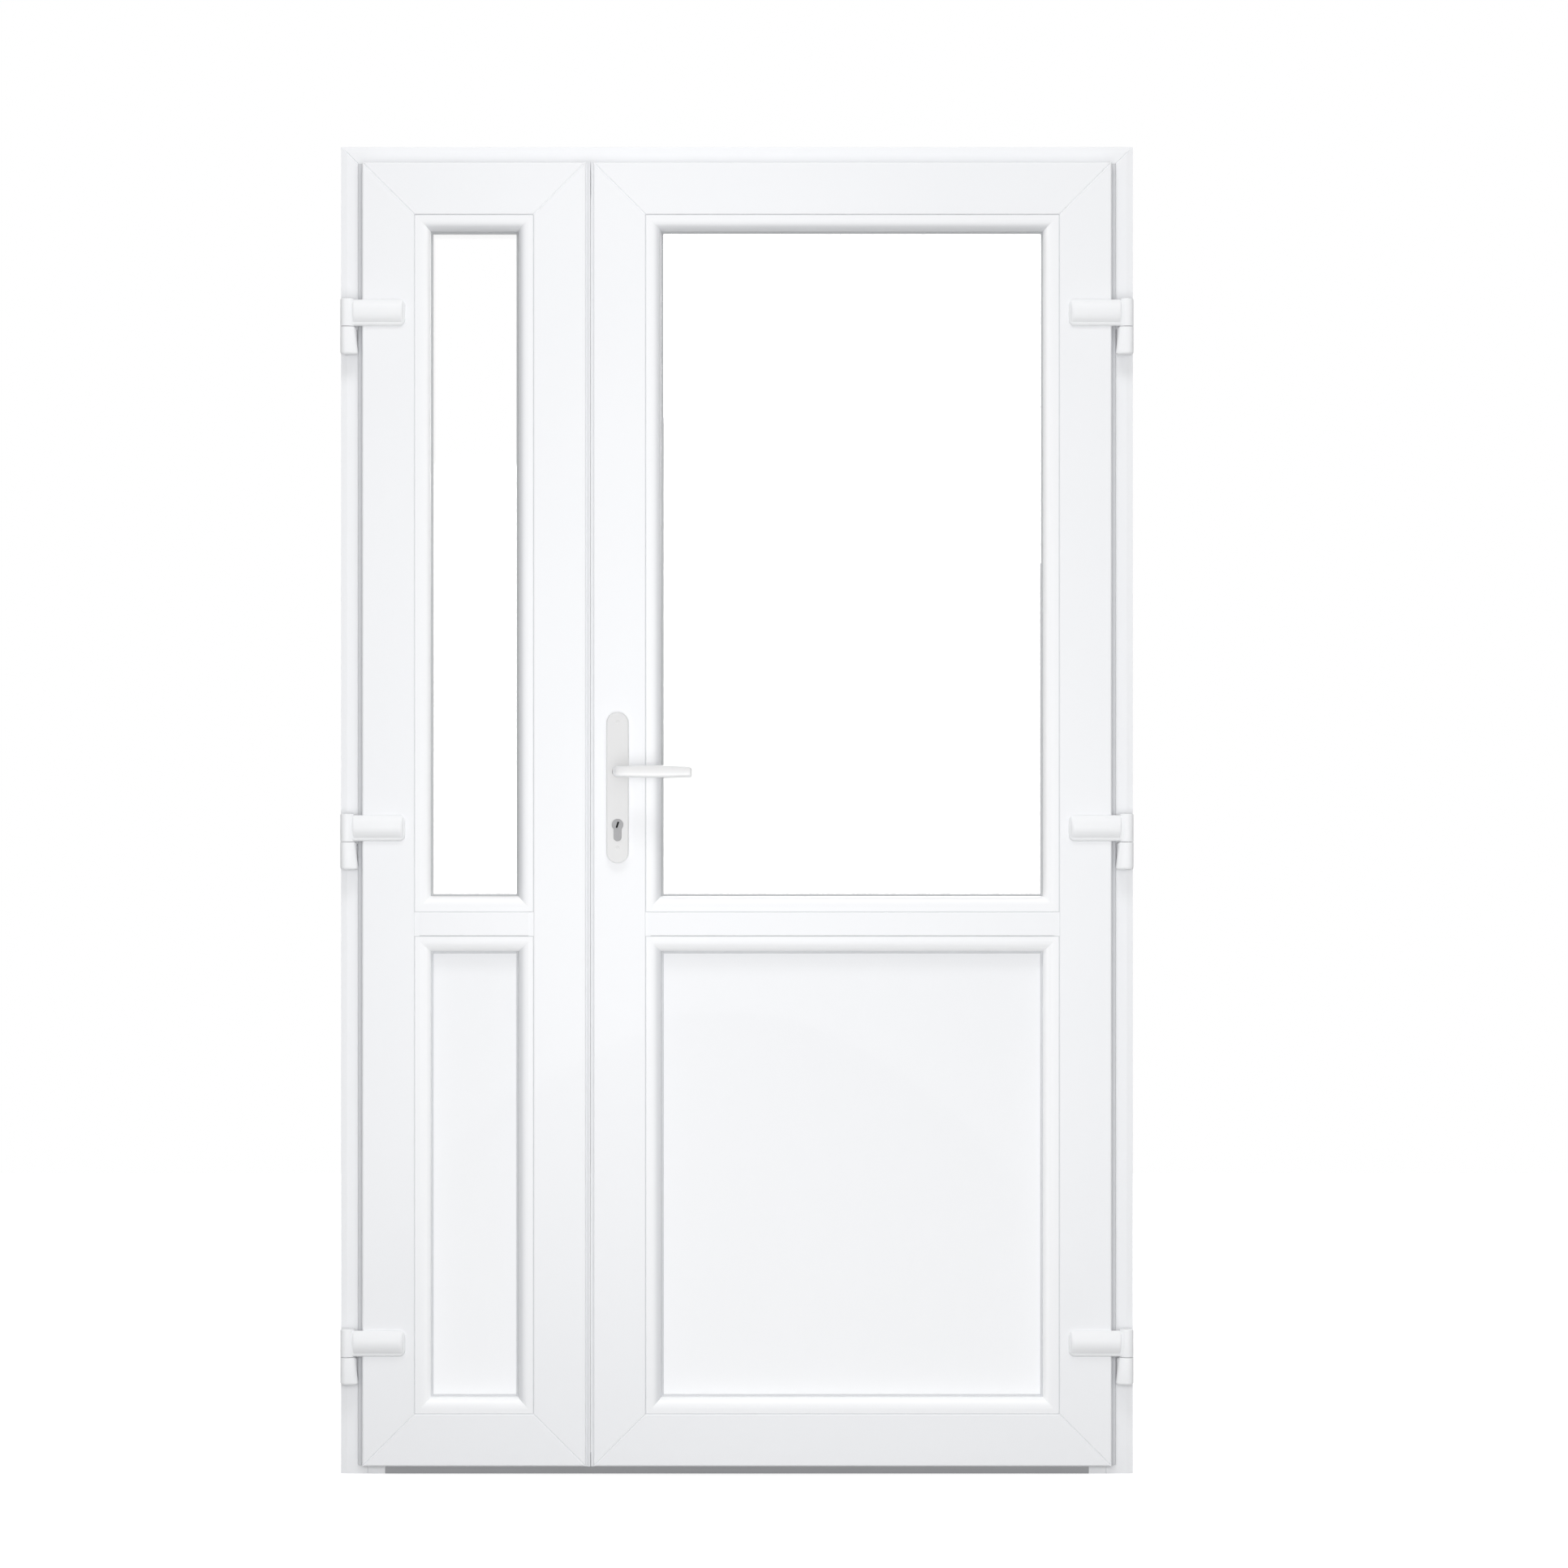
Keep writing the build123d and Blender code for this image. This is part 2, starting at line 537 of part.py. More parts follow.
def hinge_arm(side, height):
    """Make the leaf's half of one hinge: the upper knuckle, the arm on the leaf and its crowned cover."""
    axis_x = side * (half_width - HINGE_INSET)
    axis_y = frame_room - HINGE_PROUD
    bottom = height + KNUCKLE_GAP / 2
    top = bottom + KNUCKLE_LENGTH
    knuckle = upright_bar(Pos(axis_x, axis_y) * Circle(KNUCKLE_RADIUS), bottom, top)

    arm_end = axis_x - side * ARM_LENGTH
    arm_face = Rect(*sorted((axis_x, arm_end)), bottom, bottom + ARM_HEIGHT)
    arm = block(arm_face, leaf_room - ARM_THICKNESS, leaf_room)
    end_corners = arm.edges().filter_by(Axis.Y).sort_by(Axis.X)
    arm = fillet(end_corners[:2] if side > 0 else end_corners[-2:], ARM_CORNER)

    cover_low = bottom + ARM_HEIGHT - ARM_COVER_HEIGHT
    cover_high = bottom + ARM_HEIGHT
    cover_base = leaf_room - ARM_THICKNESS
    crown = ThreePointArc(
        (cover_low, cover_base),
        ((cover_low + cover_high) / 2, cover_base - ARM_COVER_CROWN),
        (cover_high, cover_base))
    cover_section = make_face(crown + Line((cover_high, cover_base), (cover_low, cover_base)))
    cover_start = axis_x - side * ARM_COVER_START
    cover_end = arm_end + side * ARM_COVER_END
    plane = Plane(((cover_start + cover_end) / 2, 0, 0), x_dir=(0, 0, 1), z_dir=(-1, 0, 0))
    cover = extrude(plane * cover_section, amount=abs(cover_end - cover_start) / 2, both=True)
    rounded_end = outline(
        (cover_start, cover_base, 0),
        (cover_start, cover_base - ARM_COVER_CROWN, 0),
        (cover_end, cover_base - ARM_COVER_CROWN, ARM_COVER_END_ROUND),
        (cover_end, cover_base, 0),
    )
    cover &= upright_bar(rounded_end, cover_low, cover_high)

    bore_top = bottom + HINGE_PIN_LENGTH + HINGE_BORE_SPARE
    bore = upright_bar(Pos(axis_x, axis_y) * Circle(HINGE_PIN_RADIUS), bottom, bore_top)
    return knuckle + arm + cover - bore


def make_hinges():
    """Make evenly spaced hinges on each side of the frame."""
    highest = DOOR_HEIGHT - HIGHEST_HINGE_FROM_TOP
    spacing = (highest - LOWEST_HINGE_FROM_FLOOR) / (HINGES_PER_LEAF - 1)
    heights = [LOWEST_HINGE_FROM_FLOOR + index * spacing for index in range(HINGES_PER_LEAF)]
    for side, leaf, place in ((-1, "narrow", "left"), (1, "main", "right")):
        nodes["hinge_bases_" + place] = [hinge_base(side, height) for height in heights]
        nodes[leaf + "_hinge_arms"] = [hinge_arm(side, height) for height in heights]


# Lock and handle
def cylinder_profile(clearance):
    """Draw the keyhole-shaped profile of the lock cylinder in the plane of the wall."""
    web_length = CYLINDER_TALL - CYLINDER_RADIUS - CYLINDER_WEB_RADIUS
    web_width = 2 * (CYLINDER_WEB_RADIUS + clearance)
    profile = Circle(CYLINDER_RADIUS + clearance)
    profile += Pos(0, -web_length / 2) * Rectangle(web_width, web_length)
    profile += Pos(0, -web_length) * Circle(CYLINDER_WEB_RADIUS + clearance)
    return profile


def through_leaf(profile, height, front, back):
    """Extrude a profile drawn about the handle's line from one depth to another."""
    plane = Plane((handle_x, back, height), x_dir=(1, 0, 0), z_dir=(0, -1, 0))
    return extrude(plane * profile, amount=back - front)


def handle_plate(front, back, outer_face):
    """Make one long plate with round ends, a bore for the lever and a hole for the cylinder."""
    plate = through_leaf(Rot(0, 0, 90) * SlotOverall(PLATE_LENGTH, PLATE_WIDTH), plate_middle, front, back)
    rim = [edge for edge in plate.edges() if abs(edge.center().Y - outer_face) < SMALL_ROUND / 10]
    plate = chamfer(rim, PLATE_BEVEL)
    plate -= through_leaf(Circle(LEVER_STUB_RADIUS + LEVER_STUB_CLEARANCE), LEVER_HEIGHT, front, back)
    return plate - through_leaf(cylinder_profile(CYLINDER_CLEARANCE), cylinder_height, front, back)


def lock_cylinder(front, back):
    """Make the lock cylinder with a turning plug and a keyway at each end."""
    cylinder = through_leaf(cylinder_profile(0), cylinder_height, front, back)
    keyway = Rot(0, 0, KEYWAY_TILT) * Rectangle(KEYWAY_WIDTH, KEYWAY_HEIGHT)
    for face, outwards in ((front, -1), (back, 1)):
        plug_face = face + outwards * PLUG_PROUD
        keyway_end = plug_face - outwards * KEYWAY_DEPTH
        cylinder += through_leaf(Circle(PLUG_RADIUS), cylinder_height, *sorted((face, plug_face)))
        cylinder -= through_leaf(keyway, cylinder_height, *sorted((plug_face, keyway_end)))
    return cylinder


def lever(face, back, direction):
    """Make one lever: a stub in the plate, and a flat bar that runs out from it and bends into the grip."""
    start = face + direction * LEVER_GAP
    turn = face + direction * LEVER_STANDOFF
    half = LEVER_GRIP_DEPTH / 2
    plan = outline(
        (handle_x - half, start, 0),
        (handle_x - half, turn + direction * half, LEVER_BEND + half),
        (handle_x + LEVER_REACH, turn + direction * half, 0),
        (handle_x + LEVER_REACH, turn - direction * half, 0),
        (handle_x + half, turn - direction * half, LEVER_BEND - half),
        (handle_x + half, start, 0),
    )
    bar = upright_bar(plan, LEVER_HEIGHT - LEVER_GRIP_HEIGHT / 2, LEVER_HEIGHT + LEVER_GRIP_HEIGHT / 2)
    levels = bar.edges().group_by(Axis.Z)
    rims = [edge for edge in levels[0] + levels[-1] if abs(edge.center().Y - start) > LEVER_GAP]
    bar = chamfer(rims, LEVER_EDGE)
    stub_end = back + direction * LEVER_GAP
    stub = through_leaf(Circle(LEVER_STUB_RADIUS), LEVER_HEIGHT, *sorted((start, stub_end)))
    return bar + stub


def make_lock():
    """Make the lock's visible pieces on the main leaf, the two plates and the levers on their spindle."""
    plate_front = leaf_room - PLATE_THICKNESS
    plate_back = leaf_out + PLATE_THICKNESS
    nodes["handle_plate_inside"] = handle_plate(plate_front, leaf_room, plate_front)
    nodes["handle_plate_outside"] = handle_plate(leaf_out, plate_back, plate_back)
    nodes["lock_cylinder"] = lock_cylinder(plate_front - CYLINDER_PROUD, plate_back + CYLINDER_PROUD)
    nodes["lever_inside"] = lever(plate_front, leaf_room, -1)
    nodes["lever_outside"] = lever(plate_back, leaf_out, 1)
    nodes["lever_spindle"] = through_leaf(
        Rectangle(SPINDLE_SIZE, SPINDLE_SIZE), LEVER_HEIGHT, leaf_room - LEVER_GAP, leaf_out + LEVER_GAP)
    stile = nodes["main_meeting_stile"]
    stile -= through_leaf(Circle(SPINDLE_BORE_RADIUS), LEVER_HEIGHT, leaf_room, leaf_out)
    stile -= through_leaf(cylinder_profile(CYLINDER_CLEARANCE), cylinder_height, leaf_room, leaf_out)
    nodes["main_meeting_stile"] = stile
    faceplate = block(
        Rect(main_body.left, main_body.left + HARDWARE_GROOVE_DEPTH, main_body.bottom + FACEPLATE_MARGIN,
             main_body.top - FACEPLATE_MARGIN), groove_front, groove_back)
    bolt_end = main_body.left - BOLT_PROUD
    for height in (LEVER_HEIGHT, cylinder_height):
        bolt = Rect(bolt_end, main_body.left, height - BOLT_LENGTH / 2, height + BOLT_LENGTH / 2)
        faceplate += block(bolt, bolt_front, bolt_back)
    nodes["lock_faceplate"] = faceplate


make_frame()
narrow_seal = make_leaf("narrow", narrow_rect, "left", "right")
main_seal = make_leaf("main", main_rect, "right", "left")
make_meeting(narrow_seal, main_seal)
make_hinges()
make_lock()

os.makedirs("parts", exist_ok=True)
for name, shape in nodes.items():
    piece = Compound(children=shape) if isinstance(shape, list) else shape
    export_step(piece, os.path.join("parts", name + ".step"))
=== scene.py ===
import math

import bmesh
import bpy
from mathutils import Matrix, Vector


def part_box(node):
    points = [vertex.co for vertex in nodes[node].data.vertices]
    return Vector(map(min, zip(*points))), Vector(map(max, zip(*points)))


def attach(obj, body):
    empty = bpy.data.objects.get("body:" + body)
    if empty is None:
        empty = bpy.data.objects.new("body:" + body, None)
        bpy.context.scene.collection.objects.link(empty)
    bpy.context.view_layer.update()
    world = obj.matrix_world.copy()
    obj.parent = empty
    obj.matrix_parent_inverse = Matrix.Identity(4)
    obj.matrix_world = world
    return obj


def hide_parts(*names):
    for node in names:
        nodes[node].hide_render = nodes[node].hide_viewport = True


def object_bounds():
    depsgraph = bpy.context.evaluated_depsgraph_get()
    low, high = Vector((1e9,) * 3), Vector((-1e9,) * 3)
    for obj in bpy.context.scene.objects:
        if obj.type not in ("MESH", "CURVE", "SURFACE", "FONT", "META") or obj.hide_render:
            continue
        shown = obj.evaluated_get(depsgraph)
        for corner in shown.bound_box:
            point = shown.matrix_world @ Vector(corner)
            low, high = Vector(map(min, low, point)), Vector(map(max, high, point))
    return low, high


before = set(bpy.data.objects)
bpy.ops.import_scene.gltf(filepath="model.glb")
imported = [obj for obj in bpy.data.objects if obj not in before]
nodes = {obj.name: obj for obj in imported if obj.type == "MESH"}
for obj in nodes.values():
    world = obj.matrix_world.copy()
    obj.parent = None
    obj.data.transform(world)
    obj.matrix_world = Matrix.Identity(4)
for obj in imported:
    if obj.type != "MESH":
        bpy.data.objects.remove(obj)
cad_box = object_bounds()
bpy.ops.object.select_all(action="DESELECT")


# Frame and leaf profiles. White PVC is drawn through a die into hollow bars, which are cut at 45 degrees,
# welded at the corners and trimmed, so each bar has faint lines along its run and an even satin skin.
class Shade:
    """One output socket of a finish, which the signs + - * add Math nodes to."""

    def __init__(self, socket):
        self.socket = socket

    def make(self, kind, settings=None, inputs=None, output=0):
        """Add a node to the same finish: its settings first, then its values or links."""
        tree = self.socket.id_data
        node = tree.nodes.new("ShaderNode" + kind)
        for name, value in (settings or {}).items():
            setattr(node, name, value)
        for name, value in (inputs or {}).items():
            if isinstance(value, Shade):
                tree.links.new(value.socket, node.inputs[name])
            else:
                node.inputs[name].default_value = value
        return Shade(node.outputs[output])

    def maths(self, operation, first, second):
        """Work out one value from two."""
        return self.make("Math", {"operation": operation}, {0: first, 1: second})

    def __add__(self, other):
        return self.maths("ADD", self, other)

    def __radd__(self, other):
        return self.maths("ADD", other, self)

    def __sub__(self, other):
        return self.maths("SUBTRACT", self, other)

    def __rsub__(self, other):
        return self.maths("SUBTRACT", other, self)

    def __mul__(self, other):
        return self.maths("MULTIPLY", self, other)

    def __rmul__(self, other):
        return self.maths("MULTIPLY", other, self)

    def blend(self, low, high):
        """Mix two colours by this value."""
        return self.make("Mix", {"data_type": "RGBA"}, {0: self, 6: low, 7: high}, output=2)

    def axis(self, name):
        """Read these coordinates along X, Y or Z."""
        return self.make("SeparateXYZ", None, {"Vector": self}, output=name)

    def noise(self, scale, detail=2.0):
        """Read a noise of that many features to the metre at these coordinates."""
        return self.make("TexNoise", None, {"Vector": self, "Scale": scale, "Detail": detail})

    def lines(self, run, detail=3.0):
        """Read a noise of so many features to the metre along each of X, Y and Z."""
        return self.make("Mapping", None, {"Vector": self, "Scale": run}).noise(1.0, detail)

    def feed(self, surface, name):
        """Link this value to one of the surface shader's inputs."""
        self.socket.id_data.links.new(self.socket, surface.inputs[name])


def start_finish(name):
    """Start a finish, and give it with its surface shader and the piece's own coordinates."""
    finish = bpy.data.materials.new(name)
    finish.use_nodes = True
    tree = finish.node_tree
    surface = tree.nodes["Principled BSDF"]
    place = Shade(tree.nodes.new("ShaderNodeTexCoord").outputs["Object"])
    return finish, surface, place


def raise_surface(surface, height, depth):
    """Give a surface a bump of that depth in metres."""
    bump = height.make("Bump", None, {"Strength": 1.0, "Distance": depth, "Height": height})
    bump.feed(surface, "Normal")


ALONG_X = (2.0, 500.0, 500.0)
ALONG_Z = (500.0, 500.0, 2.0)
PVC_CLOUD = 2.4
PVC_PEEL = 380.0
PVC_DEPTH = 0.00006
PVC_IOR = 1.53
LINES_IN_ROUGHNESS = 0.07
PEEL_IN_ROUGHNESS = 0.05
LINES_IN_BUMP = 0.6
PEEL_IN_BUMP = 0.4


def pvc_finish(name, shadow, light, run, roughness):
    """White PVC with a slow change of tone, drawn lines along its run and a fine peel."""
    finish, surface, place = start_finish(name)
    drawn = place.lines(run)
    peel = place.noise(PVC_PEEL)
    place.noise(PVC_CLOUD).blend(shadow, light).feed(surface, "Base Color")
    (roughness + drawn * LINES_IN_ROUGHNESS + peel * PEEL_IN_ROUGHNESS).feed(surface, "Roughness")
    raise_surface(surface, drawn * LINES_IN_BUMP + peel * PEEL_IN_BUMP, PVC_DEPTH)
    surface.inputs["IOR"].default_value = PVC_IOR
    return finish


def dress(finish, *names):
    """Give CAD nodes a finish."""
    for name in names:
        nodes[name].data.materials.clear()
        nodes[name].data.materials.append(finish)


LEAVES = ("narrow", "main")
PVC_SHADOW = (0.855, 0.865, 0.885, 1.0)
PVC_LIGHT = (0.885, 0.892, 0.908, 1.0)
# The false mullion's PVC is painted darker than the rest: painted shade for the meeting gap where it shows.
GAP_PAINTED_SHADE_DARK = (0.730, 0.740, 0.760, 1.0)
GAP_PAINTED_SHADE_PALE = (0.760, 0.770, 0.790, 1.0)
PVC_ROUGHNESS = 0.26
pvc_upright = pvc_finish("pvc_upright", PVC_SHADOW, PVC_LIGHT, ALONG_Z, PVC_ROUGHNESS)
pvc_level = pvc_finish("pvc_level", PVC_SHADOW, PVC_LIGHT, ALONG_X, PVC_ROUGHNESS)
pvc_painted_shade = pvc_finish("pvc_painted_shade", GAP_PAINTED_SHADE_DARK, GAP_PAINTED_SHADE_PALE, ALONG_Z, PVC_ROUGHNESS)
dress(pvc_upright, "frame_jamb_left", "frame_jamb_right", "threshold_end_blocks", "outer_cover_strip")
dress(pvc_painted_shade, "false_mullion")
dress(pvc_level, "frame_head")
for leaf in LEAVES:
    dress(pvc_upright, leaf + "_hinge_stile", leaf + "_meeting_stile")
    dress(pvc_level, leaf + "_top_rail", leaf + "_bottom_rail", leaf + "_transom")


# Threshold. A ribbed bar of anodised aluminium lies between the jambs and is screwed to the floor,
# with brushed lines along its length and countersunk steel screws in its tread.
METAL_CLOUD = 9.0
METAL_DEPTH = 0.00003
BRUSH_IN_ROUGHNESS = 0.10
CLOUD_IN_ROUGHNESS = 0.08


def metal_finish(name, shadow, light, run, roughness, depth=METAL_DEPTH):
    """Metal with brushed lines along its run and a slow change of gloss."""
    finish, surface, place = start_finish(name)
    brushed = place.lines(run, detail=4.0)
    cloud = place.noise(METAL_CLOUD)
    brushed.blend(shadow, light).feed(surface, "Base Color")
    (roughness + brushed * BRUSH_IN_ROUGHNESS + cloud * CLOUD_IN_ROUGHNESS).feed(surface, "Roughness")
    raise_surface(surface, brushed, depth)
    surface.inputs["Metallic"].default_value = 1.0
    return finish


def choose(kind, test):
    """Select the faces, edges or vertices of the piece in hand whose middle passes a test."""
    bpy.ops.mesh.select_mode(type={"verts": "VERT", "edges": "EDGE", "faces": "FACE"}[kind])
    bpy.ops.mesh.select_all(action="DESELECT")
    shape = bmesh.from_edit_mesh(bpy.context.object.data)
    for item in getattr(shape, kind):
        corners = [item.co] if kind == "verts" else [corner.co for corner in item.verts]
        item.select_set(test(sum(corners, Vector()) / len(corners)))
    shape.select_flush_mode()
    bmesh.update_edit_mesh(bpy.context.object.data)


def extrude(step, size=None):
    """Extrude what is selected by a step and, where a size is given, scale its end."""
    bpy.ops.mesh.extrude_region_move(TRANSFORM_OT_translate={"value": step})
    if size is not None:
        bpy.ops.transform.resize(value=size)


def fix_place():
    """Put the place, turn and size of what is selected into its mesh."""
    bpy.ops.object.transform_apply(location=True, rotation=True, scale=True)


SMOOTH_ANGLE = math.radians(40.0)


def settle(name, finish):
    """Leave edit mode, fix the piece's place, and give it its name, finish and smooth shading."""
    bpy.ops.object.mode_set(mode="OBJECT")
    fix_place()
    piece = bpy.context.object
    piece.name = name
    piece.data.name = name
    piece.data.materials.clear()
    piece.data.materials.append(finish)
    bpy.ops.object.shade_smooth_by_angle(angle=SMOOTH_ANGLE)
    bpy.ops.object.select_all(action="DESELECT")
    return piece


def take_in_hand(*pieces):
    """Make pieces the selected ones and the first of them the active one."""
    bpy.ops.object.select_all(action="DESELECT")
    for piece in pieces:
        piece.select_set(True)
    bpy.context.view_layer.objects.active = pieces[0]


def join(pieces, name):
    """Join pieces into one."""
    take_in_hand(*pieces)
    bpy.ops.object.join()
    pieces[0].name = name
    pieces[0].data.name = name
    bpy.ops.object.select_all(action="DESELECT")
    return pieces[0]


def copy_of(piece):
    """Copy a piece with a mesh of its own."""
    twin = piece.copy()
    twin.data = piece.data.copy()
    bpy.context.scene.collection.objects.link(twin)
    return twin


def scatter(piece, moves, name):
    """Put a piece and its copies at some places, moved from where it was modelled, and join them."""
    pieces = [piece]
    while len(pieces) < len(moves):
        pieces.append(copy_of(piece))
    for twin, move in zip(pieces, moves):
        take_in_hand(twin)
        bpy.ops.transform.translate(value=move)
        fix_place()
    return join(pieces, name)


def carry(piece, body, slot, *replaced):
    """Let a piece ride on a body and hide the nodes that it stands for; the slot is not used."""
    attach(piece, body)
    if replaced:
        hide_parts(*replaced)


CROSS_CELLS = 3
CROSS_REACH = 0.42
RIM_SPREAD = (1.7, 1.7, 1.0)
RIM_DROP = 0.12
HEAD_TAPER = (0.85, 0.85, 1.0)
HEAD_DEPTH = 0.45
RECESS_EDGE = 0.03
RECESS_TAPER = (0.7, 0.7, 1.0)
RECESS_DEPTH = 0.35


def cross_screw(name, finish, radius, turn=(0.0, 0.0, 0.0)):
    """Model a countersunk screw head at the origin, with a cross recess, facing up until it is turned."""
    bpy.ops.mesh.primitive_grid_add(x_subdivisions=CROSS_CELLS, y_subdivisions=CROSS_CELLS, size=radius)
    bpy.ops.object.mode_set(mode="EDIT")
    arm = radius / CROSS_CELLS / 2
    cross = radius * CROSS_REACH
    choose("verts", lambda middle: max(abs(middle.x), abs(middle.y)) > arm * 2)
    bpy.ops.transform.tosphere(value=1.0)
    choose("edges", lambda middle: middle.length > cross)
    extrude((0.0, 0.0, 0.0), RIM_SPREAD)
    bpy.ops.transform.translate(value=(0.0, 0.0, -radius * RIM_DROP))
    extrude((0.0, 0.0, -radius * HEAD_DEPTH), HEAD_TAPER)
    choose("faces", lambda middle: middle.length < cross and min(abs(middle.x), abs(middle.y)) < arm)
    bpy.ops.mesh.inset(thickness=radius * RECESS_EDGE)
    extrude((0.0, 0.0, -radius * RECESS_DEPTH), RECESS_TAPER)
    bpy.context.object.rotation_euler = turn
    return settle(name, finish)


ANODISED_DARK = (0.265, 0.268, 0.278, 1.0)
ANODISED_PALE = (0.325, 0.329, 0.338, 1.0)
ANODISED_RUN = (6.0, 900.0, 900.0)
ANODISED_DEPTH = 0.00004
STEEL_DARK = (0.50, 0.50, 0.51, 1.0)
STEEL_PALE = (0.62, 0.62, 0.63, 1.0)
EVEN = (120.0, 120.0, 120.0)
anodised = metal_finish("anodised_aluminium", ANODISED_DARK, ANODISED_PALE, ANODISED_RUN,
                        roughness=0.34, depth=ANODISED_DEPTH)
screw_steel = metal_finish("screw_steel", STEEL_DARK, STEEL_PALE, EVEN, roughness=0.30)
dress(anodised, "threshold")

TREAD_SCREWS = 5
TREAD_SCREW_RADIUS = 0.0042
TREAD_SCREW_LINE = 0.75
tread_low, tread_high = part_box("threshold")
tread_pitch = (tread_high.x - tread_low.x) / TREAD_SCREWS
tread_places = []
for index in range(TREAD_SCREWS):
    screw_x = tread_low.x + (index + 0.5) * tread_pitch
    tread_places.append((screw_x, tread_high.y * TREAD_SCREW_LINE, tread_high.z))
tread_screw = cross_screw("tread_screw", screw_steel, TREAD_SCREW_RADIUS)
carry(scatter(tread_screw, tread_places, "threshold_screws"), "frame", "threshold_aluminium")


# Seals. Soft rubber, grey to off-white, is drawn into lips and pressed into grooves round the frame, the
# leaves and the glass, so it shows as thin dull lines with a slightly mottled skin.
RUBBER_MOTTLE = 90.0
RUBBER_PEBBLE = 900.0
RUBBER_DEPTH = 0.00005
RUBBER_ROUGHNESS = 0.55
MOTTLE_IN_ROUGHNESS = 0.2


def rubber_finish(name, shadow, light):
    """Dull rubber with a mottled tone and a fine pebbled skin."""
    finish, surface, place = start_finish(name)
    mottle = place.noise(RUBBER_MOTTLE, detail=3.0)
    mottle.blend(shadow, light).feed(surface, "Base Color")
    (RUBBER_ROUGHNESS + mottle * MOTTLE_IN_ROUGHNESS).feed(surface, "Roughness")
    raise_surface(surface, place.noise(RUBBER_PEBBLE), RUBBER_DEPTH)
    return finish


def start_block(low, high):
    """Start a block between two corners, in edit mode."""
    low = Vector(low)
    high = Vector(high)
    bpy.ops.mesh.primitive_cube_add(size=1.0)
    bpy.ops.object.mode_set(mode="EDIT")
    bpy.ops.transform.resize(value=high - low)
    bpy.ops.transform.translate(value=(low + high) / 2)


def round_edges(test, offset, segments):
    """Bevel the edges whose middle passes a test."""
    choose("edges", test)
    bpy.ops.mesh.bevel(offset=offset, segments=segments, profile=0.5, affect="EDGES")


def mirrored(piece, name, flip, centre=(0.0, 0.0, 0.0)):
    """Copy a piece to the other side of a centre with a mesh of its own."""
    twin = copy_of(piece)
    take_in_hand(twin)
    bpy.ops.transform.resize(value=flip, center_override=centre)
    fix_place()
    bpy.ops.object.mode_set(mode="EDIT")
    bpy.ops.mesh.select_all(action="SELECT")
    bpy.ops.mesh.normals_make_consistent(inside=False)
    bpy.ops.object.mode_set(mode="OBJECT")
    twin.name = name
    twin.data.name = name
    bpy.ops.object.select_all(action="DESELECT")
    return twin


NEAR = 0.0001
LEFT_TO_RIGHT = (-1.0, 1.0, 1.0)
seal_grey = rubber_finish("seal_grey", (0.46, 0.47, 0.48, 1.0), (0.52, 0.53, 0.54, 1.0))
# This pale rubber is a real seal on the panel lips, and painted shade on the bead joint strips and overlap
# lips.
pale_seal_and_shade = rubber_finish("pale_seal_and_shade", (0.61, 0.62, 0.64, 1.0), (0.67, 0.68, 0.70, 1.0))
seal_white = rubber_finish("seal_white", (0.76, 0.77, 0.79, 1.0), (0.80, 0.81, 0.83, 1.0))
dress(seal_grey, "frame_seal", "narrow_edge_seal")
dress(seal_white, "main_edge_seal")
for leaf in LEAVES:
    dress(seal_grey, leaf + "_bottom_seal", leaf + "_glazing_seals")

# The grey overlap lip shows 7.5 mm wide beside each hinge jamb: part real rubber lip, part painted shade for
# the shadow in the gap.
OVERLAP_SEAL_SHOWING = 0.0075
OVERLAP_SEAL_HIDDEN = 0.0010
OVERLAP_SEAL_THICKNESS = 0.0030
OVERLAP_SEAL_ROUND = 0.0012
OVERLAP_SEAL_SETBACK = 0.0025
stile_low, stile_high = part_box("narrow_hinge_stile")
overlap_edge = stile_low.x - OVERLAP_SEAL_SHOWING
overlap_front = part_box("narrow_edge_seal")[0].y + OVERLAP_SEAL_SETBACK
start_block((overlap_edge, overlap_front, stile_low.z),
            (stile_low.x + OVERLAP_SEAL_HIDDEN, overlap_front + OVERLAP_SEAL_THICKNESS, stile_high.z))
round_edges(lambda middle: middle.x < overlap_edge + NEAR, OVERLAP_SEAL_ROUND, segments=3)
left_overlap_seal_and_shade = settle("overlap_seal_and_shade_left", pale_seal_and_shade)
right_overlap_seal_and_shade = mirrored(left_overlap_seal_and_shade, "overlap_seal_and_shade_right", LEFT_TO_RIGHT)
carry(left_overlap_seal_and_shade, "narrow_leaf", "seal_rubber")
carry(right_overlap_seal_and_shade, "main_leaf", "seal_rubber")


# Glass. Each leaf's upper light is a sealed unit of two clear float panes round an aluminium spacer bar,
# held in the rebate by the beads.
GLASS_WIPES = (3.0, 3.0, 14.0)
WIPES_IN_ROUGHNESS = 0.03
GLASS_IOR = 1.45


def glass_finish(name):
    """Clear glass with faint wipe marks in its gloss."""
    finish, surface, place = start_finish(name)
    (place.lines(GLASS_WIPES) * WIPES_IN_ROUGHNESS).feed(surface, "Roughness")
    surface.inputs["Base Color"].default_value = (1.0, 1.0, 1.0, 1.0)
    surface.inputs["Transmission Weight"].default_value = 1.0
    surface.inputs["IOR"].default_value = GLASS_IOR
    return finish


SPACER_DARK = (0.58, 0.59, 0.60, 1.0)
SPACER_PALE = (0.70, 0.71, 0.72, 1.0)
SPACER_RUN = (40.0, 400.0, 40.0)
clear_glass = glass_finish("clear_glass")
spacer_metal = metal_finish("spacer_aluminium", SPACER_DARK, SPACER_PALE, SPACER_RUN, roughness=0.38)
for leaf in LEAVES:
    dress(clear_glass, leaf + "_glass")
    dress(spacer_metal, leaf + "_spacer")


